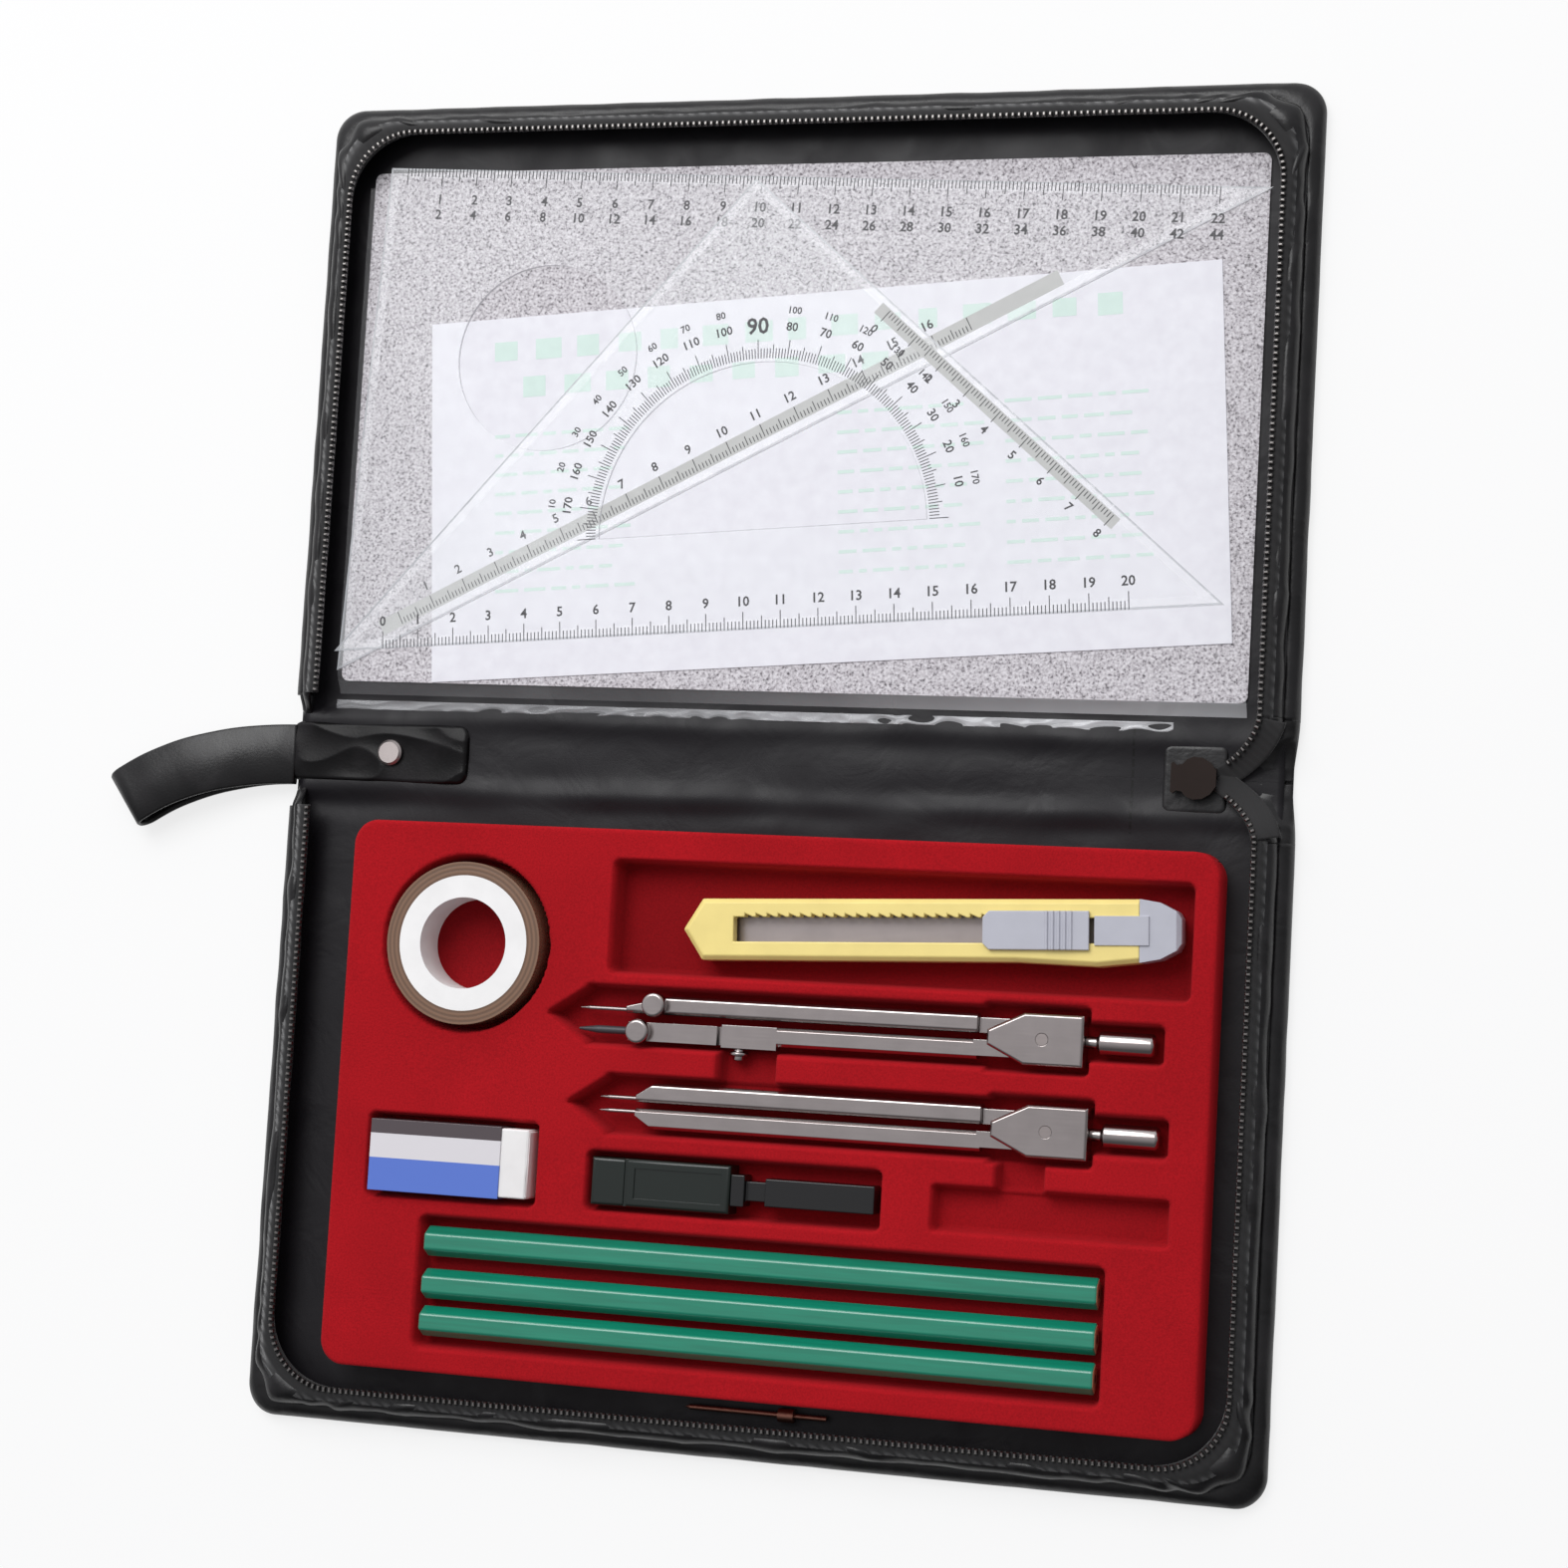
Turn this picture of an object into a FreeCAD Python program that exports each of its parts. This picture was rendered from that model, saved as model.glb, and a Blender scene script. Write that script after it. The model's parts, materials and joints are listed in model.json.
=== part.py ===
import FreeCAD, Part
import math
import os
import re
import Sketcher

# Driving dimensions, millimetres and degrees: alias, value, what it is
SIZES = [
    ("case_width", 268, "outer width along the spine"),
    ("half_depth", 165, "each half, from its fold to its outer edge"),
    ("spine_width", 22, "between the two fold axes"),
    ("cover_thick", 0.8, "coated fabric cover"),
    ("board_thick", 1.4, "stiffening board"),
    ("lining_thick", 0.4, "lining sheet"),
    ("corner_round", 9, "outer corners of the covers"),
    ("fold_slit", 0.15, "fold axis to the covers' edges"),
    ("fold_room", 2.4, "fold axis to the boards' edges"),
    ("board_margin", 3.4, "cover edge to board edge"),
    ("gusset_inset", 0.6, "cover edge to gusset foot"),
    ("gusset_thick", 1.2, "gusset wall"),
    ("gusset_lean", 5.2, "inward lean of the gusset at its rim"),
    ("wall_round", 28, "corner radius at the gusset foot"),
    ("wall_end", 4, "fold axis to the gusset ends"),
    ("zip_tape_wide", 3.6, "zip tape across the rim"),
    ("zip_tape_thick", 0.6, "zip tape"),
    ("teeth_wide", 1.6, "row of zip teeth"),
    ("teeth_high", 1.4, "row of zip teeth"),
    ("teeth_over", 0.4, "teeth past the tape's edge"),
    ("zip_gap", 0.4, "between the two rows when closed"),
    ("tray_x", 4, "flocked tray centre"),
    ("tray_y", 2, "flocked tray centre"),
    ("tray_wide", 228, "flocked tray"),
    ("tray_deep", 138, "flocked tray"),
    ("tray_back", 4.5, "flocked tray past its centred depth, towards the spine"),
    ("tray_high", 10.8, "flocked tray"),
    ("tray_round", 7, "flocked tray corners"),
    ("tray_lip", 1.2, "rounded upper edge of the flocked tray"),
    ("tape_x", -80.4, "tape roll centre on the tray"),
    ("tape_y", 41.8, "tape roll centre on the tray"),
    ("tape_radius", 21, "wound tape"),
    ("tape_core_radius", 17.5, "outside of the core"),
    ("tape_bore_radius", 11.8, "bore of the core"),
    ("tape_wide", 12, "width of the tape"),
    ("tape_deep", 9.8, "tape recess"),
    ("tape_room", 1.5, "round the tape roll"),
    ("cutter_bay_x", 33, "cutter recess centre"),
    ("cutter_bay_y", 50.8, "cutter recess centre"),
    ("cutter_bay_long", 148, "cutter recess"),
    ("cutter_bay_wide", 28, "cutter recess"),
    ("cutter_deep", 8, "cutter recess"),
    ("cutter_x", -21.6, "cutter nose on the tray"),
    ("cutter_y", 48.2, "cutter nose on the tray"),
    ("cutter_turn", 2.4, "slant of the cutter in its recess"),
    ("cutter_long", 126.6, "cutter with its end cap"),
    ("cutter_half", 7.8, "half the cutter's width"),
    ("cutter_thick", 9, "cutter body"),
    ("cutter_nose_long", 5, "tapered nose"),
    ("cutter_cap_long", 10.2, "end cap"),
    ("cap_end_half", 4.2, "half width of the end cap's end"),
    ("cap_tongue_long", 11, "end cap's tongue along the body"),
    ("cap_tongue_half", 3.6, "half width of that tongue"),
    ("cap_tongue_thick", 0.5, "that tongue"),
    ("cutter_edge", 1.2, "rounding of the cutter's edges"),
    ("cutter_belly", 1, "depth of the finger rest under the cutter"),
    ("cutter_bore_half", 5.1, "half width of the blade channel's bore"),
    ("cutter_bore_low", 2.4, "bottom of that bore"),
    ("cutter_bore_high", 3, "height of that bore"),
    ("cutter_window_x", 13.5, "start of the slider's window"),
    ("cutter_window_long", 92, "slider's window"),
    ("cutter_window_half", 3.1, "half width of the window"),
    ("ratchet_pitch", 2.9, "teeth along the window"),
    ("ratchet_deep", 0.9, "teeth along the window"),
    ("ratchet_count", 22, "teeth on each side of the window"),
    ("blade_wide", 9, "cutter blade"),
    ("blade_thick", 0.4, "cutter blade"),
    ("blade_long", 96, "cutter blade"),
    ("blade_in", 6.5, "nose to the blade's point"),
    ("slider_x", 77.7, "start of the cutter's slider"),
    ("slider_long", 26.5, "cutter's slider"),
    ("slider_half", 4.8, "half width of the slider's plate"),
    ("slider_high", 1.1, "slider's plate"),
    ("slider_bevel", 1.6, "corners of the slider's front end"),
    ("ridge_count", 5, "grip ridges on the slider"),
    ("ridge_pitch", 1.5, "grip ridges on the slider"),
    ("ridge_wide", 0.7, "grip ridges on the slider"),
    ("ridge_high", 0.5, "grip ridges on the slider"),
    ("ridge_start", 16, "slider's front end to the first ridge"),
    ("slide_fit", 0.1, "clearance of sliding pieces"),
    ("bay_deep", 7, "compass and divider recesses"),
    ("bay_half", 7.4, "half width of those recesses at the legs"),
    ("bay_head_half", 8.2, "half width at the heads"),
    ("bay_handle_half", 4.6, "half width at the handles"),
    ("compass_x", 72, "compass pivot on the tray"),
    ("compass_y", 25.4, "compass pivot on the tray"),
    ("divider_x", 74, "divider pivot on the tray"),
    ("divider_y", 3, "divider pivot on the tray"),
    ("head_half", 6.4, "half width of a head"),
    ("head_nose", 13.8, "pivot to the pointed end of a head"),
    ("head_nose_half", 1.9, "half width of the narrow end of a head"),
    ("head_back", 10.3, "pivot to the back of a head"),
    ("head_thick", 8, "head"),
    ("cheek_thick", 1.7, "each cheek of a head"),
    ("head_bevel", 0.6, "bevelled upper edge of a head"),
    ("slot_back", 6.6, "pivot to the back of a head's slot"),
    ("eye_radius", 5, "leg's eye round the pivot"),
    ("pivot_radius", 1.5, "pivot pin"),
    ("pivot_fit", 0.05, "running fit of the eyes"),
    ("bar_root", 16.5, "pivot to the full section of a leg"),
    ("bar_wide", 4.8, "leg"),
    ("bar_split", 0.8, "from the middle to each leg"),
    ("leg_bevel", 0.8, "bevelled upper edges of a leg"),
    ("leg_fit", 0.2, "between legs and cheeks"),
    ("needle_leg_long", 108, "pivot to the end of the needle leg"),
    ("needle_out", 12.8, "end of the needle leg to the compass points"),
    ("knee_reach", 75, "pivot to the knee"),
    ("knee_half", 2.9, "half width of the knee"),
    ("knee_pin_radius", 1.3, "knee pin"),
    ("fork_room", 0.6, "round the lead arm's eye in the knee"),
    ("arm_long", 32, "knee to the end of the lead arm"),
    ("arm_gap", 1.2, "knee block to the lead arm's bar"),
    ("knob_radius", 3.1, "clamp knobs"),
    ("knob_high", 3, "clamp knobs"),
    ("knob_bevel", 0.5, "bevelled edge of a knob"),
    ("wing_radius", 2.5, "flange of the knee screw"),
    ("wing_thick", 0.9, "flange of the knee screw"),
    ("needle_radius", 0.5, "compass and divider points"),
    ("lead_radius", 1, "leads"),
    ("handle_radius", 2.9, "knurled handles"),
    ("handle_long", 14.3, "knurled handles"),
    ("handle_neck", 2.9, "neck of the handles"),
    ("handle_neck_radius", 1.5, "neck of the handles"),
    ("handle_bevel", 0.7, "bevelled ends of the handles"),
    ("divider_leg_long", 106, "pivot to the end of a divider leg"),
    ("divider_out", 10, "end of a divider leg to its point"),
    ("divider_taper", 5, "tapered end of a divider leg"),
    ("divider_bar_wide", 5, "divider leg"),
    ("leg_tip_wide", 1.8, "leg at its pointed end"),
    ("leg_taper", 12, "tapered end of a leg"),
    ("spare_x", 75.6, "empty recess centre"),
    ("spare_y", -17.2, "empty recess centre"),
    ("spare_long", 58.2, "empty recess"),
    ("spare_wide", 11, "empty recess"),
    ("spare_deep", 5, "empty recess"),
    ("notch_wide", 14, "finger notches"),
    ("notch_deep", 6, "finger notches"),
    ("head_notch_in", 6, "divider pivot to the notch at its head"),
    ("head_notch_wide", 11.2, "that notch"),
    ("eraser_x", -80.5, "eraser on the tray"),
    ("eraser_y", -13.8, "eraser on the tray"),
    ("eraser_long", 43.5, "eraser block"),
    ("eraser_wide", 18.4, "eraser block"),
    ("eraser_thick", 10, "eraser block"),
    ("eraser_edge", 0.8, "rounded ends of the eraser"),
    ("sleeve_long", 36, "eraser sleeve"),
    ("sleeve_wall", 0.4, "eraser sleeve"),
    ("eraser_deep", 7.5, "eraser recess"),
    ("bay_room", 1.2, "round the eraser, lead box and pencils"),
    ("lead_box_x", -5.1, "lead box on the tray"),
    ("lead_box_y", -16.6, "lead box on the tray"),
    ("lead_box_long", 36.8, "lead box body"),
    ("lead_box_wide", 12.2, "lead box body"),
    ("lead_box_thick", 7.5, "lead box body"),
    ("lead_box_edge", 1, "rounded upper edge of the lead box"),
    ("panel_deep", 0.4, "sunk panel and groove on the lead box"),
    ("groove_wide", 0.8, "groove across the lead box"),
    ("lead_cap_long", 28.2, "grip of the lead box cap"),
    ("lead_cap_wide", 7, "grip of the lead box cap"),
    ("lead_neck_long", 9, "neck of the lead box cap"),
    ("lead_plug_long", 12, "plug inside the lead box"),
    ("lead_plug_wide", 5, "plug inside the lead box"),
    ("lead_plug_thick", 3, "plug inside the lead box"),
    ("lead_deep", 7, "lead box recess"),
    ("pencil_x", 1, "pencils on the tray"),
    ("pencil_a_y", -35.2, "first pencil"),
    ("pencil_b_y", -46.1, "second pencil"),
    ("pencil_c_y", -55.6, "third pencil"),
    ("pencil_long", 175, "pencil"),
    ("pencil_flats", 7, "pencil across its flats"),
    ("pencil_deep", 6.5, "pencil recess"),
    ("needle_bar_x", 6, "spare needle bar on the tray half"),
    ("needle_bar_y", -70, "spare needle bar on the tray half"),
    ("needle_bar_long", 37, "spare needle bar"),
    ("needle_bar_radius", 0.65, "spare needle bar"),
    ("collar_radius", 1.7, "its collar"),
    ("collar_long", 4, "its collar"),
    ("strap_wide", 16, "hand strap"),
    ("strap_thick", 1.5, "hand strap"),
    ("strap_loop_long", 48, "free loop of the hand strap"),
    ("strap_loop_high", 10, "free loop of the hand strap"),
    ("strap_slant", 11, "slant of the loop towards the tray half"),
    ("strap_gap", 1.4, "patch to loop"),
    ("patch_long", 51, "strap patch on the spine"),
    ("rivet_radius", 3.4, "strap rivet"),
    ("rivet_high", 1.4, "strap rivet"),
    ("rivet_bevel", 0.6, "bevelled edge of the rivet"),
    ("rivet_in", 29, "case end to the rivet"),
    ("tab_x", 109, "zip end tab"),
    ("tab_long", 16, "zip end tab"),
    ("zip_slider_long", 11, "zip slider"),
    ("zip_slider_wide", 8, "zip slider"),
    ("zip_slider_high", 2.2, "zip slider"),
    ("pull_long", 11.2, "slider pull"),
    ("pull_wide", 10.6, "slider pull"),
    ("pull_thick", 1, "slider pull"),
    ("pull_gap", 0.3, "slider to pull"),
    ("wallet_in", 4, "lid fold to the wallet's weld"),
    ("wallet_wide", 242, "speckled card"),
    ("wallet_deep", 139, "speckled card"),
    ("card_thick", 0.6, "speckled card"),
    ("card_round", 2, "corners of the speckled card"),
    ("paper_thick", 0.3, "folded paper"),
    ("paper_x", 7.5, "folded paper centre"),
    ("paper_y", 60, "folded paper centre, from the weld"),
    ("paper_turn", 4, "slant of the folded paper"),
    ("paper_wide", 212, "folded paper"),
    ("paper_deep", 97, "folded paper"),
    ("plate_thick", 1.1, "set squares"),
    ("plate_gap", 0.1, "between the wallet's plates"),
    ("film_thick", 0.25, "clear film"),
    ("film_deep", 138, "clear film"),
    ("weld_wide", 4, "welded edge of the film"),
    ("equal_leg", 168, "leg of the 45 degree set square"),
    ("equal_x", -4, "middle of its long edge"),
    ("equal_y", 24, "its long edge, from the lid fold"),
    ("equal_turn", 4, "slant of the 45 degree set square"),
    ("arc_radius", 44, "its half-round window"),
    ("arc_up", 26, "its long edge to that window"),
    ("long_leg", 238, "long leg of the 60 degree set square"),
    ("long_x", -115.9, "right angle of that square"),
    ("long_y", 148, "right angle of that square, from the lid fold"),
    ("long_turn", -2.5, "slant of the 60 degree set square"),
    ("hole_radius", 25, "its round hole"),
]

doc = FreeCAD.newDocument("drafting_set")
sheet = doc.addObject("Spreadsheet::Sheet", "Sizes")
for row, (alias, value, note) in enumerate(SIZES, start=1):
    sheet.set(f"A{row}", note)
    sheet.set(f"B{row}", str(value))
    sheet.setAlias(f"B{row}", alias)
doc.recompute()

ALIASES = {alias for alias, value, note in SIZES}
PARTS = []

# Levels and places that several pieces share
FLOOR = "(cover_thick + board_thick + lining_thick)"
RIM = "(cover_thick + spine_width / 2 - zip_gap / 2 - teeth_high - zip_tape_thick)"
TRAY_FOLD = "(half_depth / 2)"
LID_FOLD = "(half_depth / 2 + spine_width)"
SPINE_MIDDLE = "(half_depth / 2 + spine_width / 2)"
TRAY_TOP = f"({FLOOR} + tray_high)"
HALF_WIDE = "(case_width / 2)"
REACHES = {"compass": "(needle_leg_long + needle_out)", "divider": "(divider_leg_long + divider_out)"}


def bound(text):
    """An expression in which each alias reads its cell of the sheet."""
    return re.sub(r"[a-z][a-z_]*", lambda m: "Sizes." + m[0] if m[0] in ALIASES else m[0], text)


def number(text):
    """The present value of such an expression."""
    return float(sheet.evalExpression(bound(text)))


def place(thing, x="0", y="0", z="0", turn=None):
    """Bind an object's place, and its turn about Z, to the sheet."""
    if turn is not None:
        thing.Placement = FreeCAD.Placement(FreeCAD.Vector(), FreeCAD.Rotation(FreeCAD.Vector(0, 0, 1), 1))
        thing.setExpression("Placement.Rotation.Angle", bound(turn))
    for axis, text in zip("xyz", (x, y, z)):
        thing.setExpression(f"Placement.Base.{axis}", bound(text))
    return thing


def body(label, x="0", y="0", z="0", turn=None):
    """A new sub-part made of sketches and features."""
    made = doc.addObject("PartDesign::Body", label)
    made.Label = label
    PARTS.append(made)
    return place(made, x, y, z, turn)


def part(label, thing):
    """Name a finished Part object as a sub-part."""
    thing.Label = label
    PARTS.append(thing)
    return thing


def sketch(owner, name, plane="XY_Plane", rise="0"):
    """A sketch on one of the body's own planes, raised along that plane's normal."""
    made = owner.newObject("Sketcher::SketchObject", name)
    face = [item for item in owner.Origin.OriginFeatures if item.Role == plane][0]
    made.AttachmentSupport = [(face, "")]
    made.MapMode = "FlatFace"
    made.setExpression("AttachmentOffset.Base.z", bound(rise))
    return made


def pin_point(drawn, shape, end, x, y):
    """Hold one point of a sketch by two bound distances from its origin."""
    for kind, text in (("DistanceX", x), ("DistanceY", y)):
        held = drawn.addConstraint(Sketcher.Constraint(kind, -1, 1, shape, end, number(text)))
        drawn.setExpression(f"Constraints[{held}]", bound(text))


def polygon(drawn, points):
    """A closed outline through points, each a pair of expressions."""
    spots = [FreeCAD.Vector(number(x), number(y), 0) for x, y in points]
    first = drawn.GeometryCount
    count = len(points)
    for step in range(count):
        drawn.addGeometry(Part.LineSegment(spots[step], spots[(step + 1) % count]), False)
    for step in range(count):
        after = first + (step + 1) % count
        drawn.addConstraint(Sketcher.Constraint("Coincident", first + step, 2, after, 1))
        pin_point(drawn, first + step, 1, *points[step])
    return drawn


def rectangle(drawn, x, y, wide, deep):
    """A rectangle by its centre and sides."""
    left, right = f"{x} - ({wide}) / 2", f"{x} + ({wide}) / 2"
    low, high = f"{y} - ({deep}) / 2", f"{y} + ({deep}) / 2"
    return polygon(drawn, [(left, low), (right, low), (right, high), (left, high)])


def circle(drawn, x, y, radius):
    """A circle held by its centre and radius."""
    middle = FreeCAD.Vector(number(x), number(y), 0)
    shape = drawn.addGeometry(Part.Circle(middle, FreeCAD.Vector(0, 0, 1), number(radius)), False)
    pin_point(drawn, shape, 3, x, y)
    held = drawn.addConstraint(Sketcher.Constraint("Radius", shape, number(radius)))
    drawn.setExpression(f"Constraints[{held}]", bound(radius))
    return drawn


def stadium(drawn, start, end, level, radius):
    """Two half circles joined by tangent lines."""
    up = FreeCAD.Vector(0, 0, 1)
    size = number(radius)
    a = FreeCAD.Vector(number(start), number(level), 0)
    b = FreeCAD.Vector(number(end), number(level), 0)
    off = FreeCAD.Vector(0, size, 0)
    first = drawn.GeometryCount
    quarter = math.pi / 2
    drawn.addGeometry(Part.ArcOfCircle(Part.Circle(a, up, size), quarter, 3 * quarter), False)
    drawn.addGeometry(Part.LineSegment(a - off, b - off), False)
    drawn.addGeometry(Part.ArcOfCircle(Part.Circle(b, up, size), -quarter, quarter), False)
    drawn.addGeometry(Part.LineSegment(b + off, a + off), False)
    for step in range(4):
        after = first + (step + 1) % 4
        drawn.addConstraint(Sketcher.Constraint("Tangent", first + step, 2, after, 1))
    pin_point(drawn, first, 3, start, level)
    pin_point(drawn, first + 2, 3, end, level)
    held = drawn.addConstraint(Sketcher.Constraint("Radius", first, size))
    drawn.setExpression(f"Constraints[{held}]", bound(radius))
    return drawn


def pad(owner, drawn, length, both=False, back=False):
    """Raise a sketch into a solid."""
    made = owner.newObject("PartDesign::Pad", drawn.Name + "_pad")
    made.Profile = drawn
    made.setExpression("Length", bound(length))
    made.Midplane = both
    made.Reversed = back
    doc.recompute()
    return made


def pocket(owner, drawn, length, both=False, back=False):
    """Cut a sketch into the body, and make sure that it removed material."""
    before = owner.Shape.Volume
    made = owner.newObject("PartDesign::Pocket", drawn.Name + "_pocket")
    made.Profile = drawn
    made.setExpression("Length", bound(length))
    made.Midplane = both
    made.Reversed = back
    doc.recompute()
    if not owner.Shape.Volume < before - 1e-6:
        raise ValueError(f"{made.Name} removes nothing")
    return made


def turned(owner, drawn):
    """Revolve a sketch about its own horizontal axis."""
    made = owner.newObject("PartDesign::Revolution", drawn.Name + "_turned")
    made.Profile = drawn
    made.ReferenceAxis = (drawn, ["H_Axis"])
    made.Angle = 360
    doc.recompute()
    return made


def ease(owner, feature, kind, measure, size, wanted):
    """Ease the edges of a feature that the test picks."""
    names = [f"Edge{i}" for i, edge in enumerate(feature.Shape.Edges, start=1) if wanted(edge)]
    made = owner.newObject(f"PartDesign::{kind}", f"{feature.Name}_{kind.lower()}")
    made.Base = (feature, names)
    made.setExpression(measure, bound(size))
    doc.recompute()
    return made


def round_edges(owner, feature, radius, wanted):
    """Round those edges."""
    return ease(owner, feature, "Fillet", "Radius", radius, wanted)


def bevel_edges(owner, feature, size, wanted):
    """Bevel those edges."""
    return ease(owner, feature, "Chamfer", "Size", size, wanted)


def upright(edge):
    """True for a straight edge along Z."""
    run = edge.Vertexes[-1].Point - edge.Vertexes[0].Point
    return len(edge.Vertexes) == 2 and abs(run.x) + abs(run.y) < 1e-6


def upright_front(edge):
    """True for an upright edge at a half's outer corners."""
    return upright(edge) and edge.CenterOfMass.y < -number("half_depth") / 2


def at_height(level, shortest=0):
    """A test for the edges that lie at one height and are longer than that."""

    def test(edge):
        flat = abs(edge.BoundBox.ZMin - level) < 1e-6 and abs(edge.BoundBox.ZMax - level) < 1e-6
        return flat and edge.Length > shortest

    return test


# The two halves share their pieces: the lid's are the tray half's turned about Z
HALVES = {"tray": (TRAY_FOLD, None), "lid": (LID_FOLD, "180")}


def half_sheet(label, half, low, thick, margin, fold_gap, corner):
    """A flat sheet of one half, rounded at its two outer corners."""
    fold, turn = HALVES[half]
    made = body(label, y=fold, turn=turn)
    drawn = sketch(made, label + "_outline", rise=low)
    side = f"{HALF_WIDE} - {margin}"
    front = f"{margin} - half_depth"
    left, back = f"-({side})", f"-{fold_gap}"
    polygon(drawn, [(left, back), (left, front), (side, front), (side, back)])
    round_edges(made, pad(made, drawn, thick), corner, upright_front)


def wall_path(owner, name):
    """The line round three sides that the wall and the zip follow."""
    drawn = sketch(owner, name)
    side = f"{HALF_WIDE} - gusset_inset"
    edge, front = number(side), number("half_depth - gusset_inset")
    bend, end = number("wall_round"), number("wall_end")
    up = FreeCAD.Vector(0, 0, 1)
    corner = [FreeCAD.Vector(s * (edge - bend), bend - front, 0) for s in (-1, 1)]

    def line(*ends):
        return Part.LineSegment(*[FreeCAD.Vector(x, y, 0) for x, y in ends])

    drawn.addGeometry(line((-edge, -end), (-edge, bend - front)), False)
    drawn.addGeometry(Part.ArcOfCircle(Part.Circle(corner[0], up, bend), math.pi, 1.5 * math.pi), False)
    drawn.addGeometry(line((bend - edge, -front), (edge - bend, -front)), False)
    drawn.addGeometry(Part.ArcOfCircle(Part.Circle(corner[1], up, bend), 1.5 * math.pi, 2 * math.pi), False)
    drawn.addGeometry(line((edge, bend - front), (edge, -end)), False)
    for shape in range(4):
        drawn.addConstraint(Sketcher.Constraint("Tangent", shape, 2, shape + 1, 1))
    drawn.addConstraint(Sketcher.Constraint("Vertical", 0))
    drawn.addConstraint(Sketcher.Constraint("Horizontal", 2))
    drawn.addConstraint(Sketcher.Constraint("Vertical", 4))
    drawn.addConstraint(Sketcher.Constraint("Equal", 1, 3))
    held = drawn.addConstraint(Sketcher.Constraint("Radius", 1, bend))
    drawn.setExpression(f"Constraints[{held}]", bound("wall_round"))
    pin_point(drawn, 0, 1, f"-({side})", "-wall_end")
    pin_point(drawn, 4, 2, side, "-wall_end")
    held = drawn.addConstraint(Sketcher.Constraint("DistanceY", -1, 1, 2, 1, -front))
    drawn.setExpression(f"Constraints[{held}]", bound("gusset_inset - half_depth"))
    return drawn


def wall_run(label, half, section):
    """Sweep a section, given as inset and height pairs, round three sides of one half."""
    fold, turn = HALVES[half]
    made = body(label, y=fold, turn=turn)
    path = wall_path(made, label + "_path")
    profile = sketch(made, label + "_section", plane="XZ_Plane", rise="wall_end")
    polygon(profile, [(f"({inset}) - {HALF_WIDE}", level) for inset, level in section])
    doc.recompute()
    run = made.newObject("PartDesign::AdditivePipe", label + "_run")
    run.Profile = profile
    run.Spine = (path, [f"Edge{i + 1}" for i in range(5)])
    doc.recompute()


def half_pieces(half):
    """Cover, board, lining, gusset, zip tape and zip teeth of one half."""
    half_sheet(f"{half}_cover", half, "0", "cover_thick", "0", "fold_slit", "corner_round")
    bend = "wall_round - (board_margin - gusset_inset)"
    half_sheet(f"{half}_board", half, "cover_thick", "board_thick", "board_margin", "fold_room", bend)
    low = "cover_thick + board_thick"
    half_sheet(f"{half}_lining", half, low, "lining_thick", "board_margin", "fold_room", bend)
    foot = "gusset_inset"
    lip = "gusset_inset + gusset_lean"
    inner = f"{lip} + zip_tape_wide"
    wall = [(foot, "cover_thick"), (f"{foot} + gusset_thick", "cover_thick")]
    wall += [(f"{lip} + gusset_thick", RIM), (lip, RIM)]
    wall_run(f"{half}_gusset", half, wall)
    over = f"{RIM} + zip_tape_thick"
    wall_run(f"{half}_zip_tape", half, [(lip, RIM), (inner, RIM), (inner, over), (lip, over)])
    back, nose = f"{inner} + teeth_over - teeth_wide", f"{inner} + teeth_over"
    crest = f"{over} + teeth_high"
    teeth = [(back, over), (nose, over), (nose, f"{over} + teeth_high / 2")]
    teeth += [(f"{nose} - teeth_wide / 4", crest), (f"{back} + teeth_wide / 4", crest)]
    teeth += [(back, f"{over} + teeth_high / 2")]
    wall_run(f"{half}_zip_teeth", half, teeth)


half_pieces("tray")
half_pieces("lid")


def spine_sheet(label, low, thick, gap, margin):
    """A flat strip of the spine."""
    made = body(label, y=SPINE_MIDDLE)
    drawn = sketch(made, label + "_outline", rise=low)
    rectangle(drawn, "0", "0", f"case_width - 2 * {margin}", f"spine_width - 2 * {gap}")
    pad(made, drawn, thick)


spine_sheet("spine_cover", "0", "cover_thick", "fold_slit", "0")
spine_sheet("spine_board", "cover_thick", "board_thick", "fold_room", "board_margin")
spine_sheet("spine_lining", "cover_thick + board_thick", "lining_thick", "fold_room", "board_margin")


# Hand strap: patch and rivet on the spine, free loop beyond the end
def strap():
    patch = body("strap_patch", y=SPINE_MIDDLE, z=FLOOR)
    drawn = sketch(patch, "strap_patch_outline")
    start = f"-{HALF_WIDE}"
    end = f"patch_long - {HALF_WIDE}"
    half = "strap_wide / 2"
    point = f"{end} - strap_wide / 4"
    polygon(drawn, [(start, f"-{half}"), (point, f"-{half}"), (end, "0"), (point, half), (start, half)])
    pad(patch, drawn, "strap_thick")
    rivet = body("strap_rivet", f"rivet_in - {HALF_WIDE}", SPINE_MIDDLE, f"{FLOOR} + strap_thick")
    drawn = sketch(rivet, "strap_rivet_outline")
    circle(drawn, "0", "0", "rivet_radius")
    head = pad(rivet, drawn, "rivet_high")
    bevel_edges(rivet, head, "rivet_bevel", at_height(number("rivet_high")))
    loop = body("hand_strap", f"-{HALF_WIDE} - strap_gap", SPINE_MIDDLE, turn="strap_slant")
    drawn = sketch(loop, "hand_strap_outline", plane="XZ_Plane")
    radius = "(strap_loop_high / 2)"
    level = f"{radius} + fold_slit"
    stadium(drawn, f"{radius} - strap_loop_long", f"-{radius}", level, radius)
    stadium(drawn, f"{radius} - strap_loop_long", f"-{radius}", level, f"{radius} - strap_thick")
    pad(loop, drawn, "strap_wide", both=True)


strap()


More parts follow.
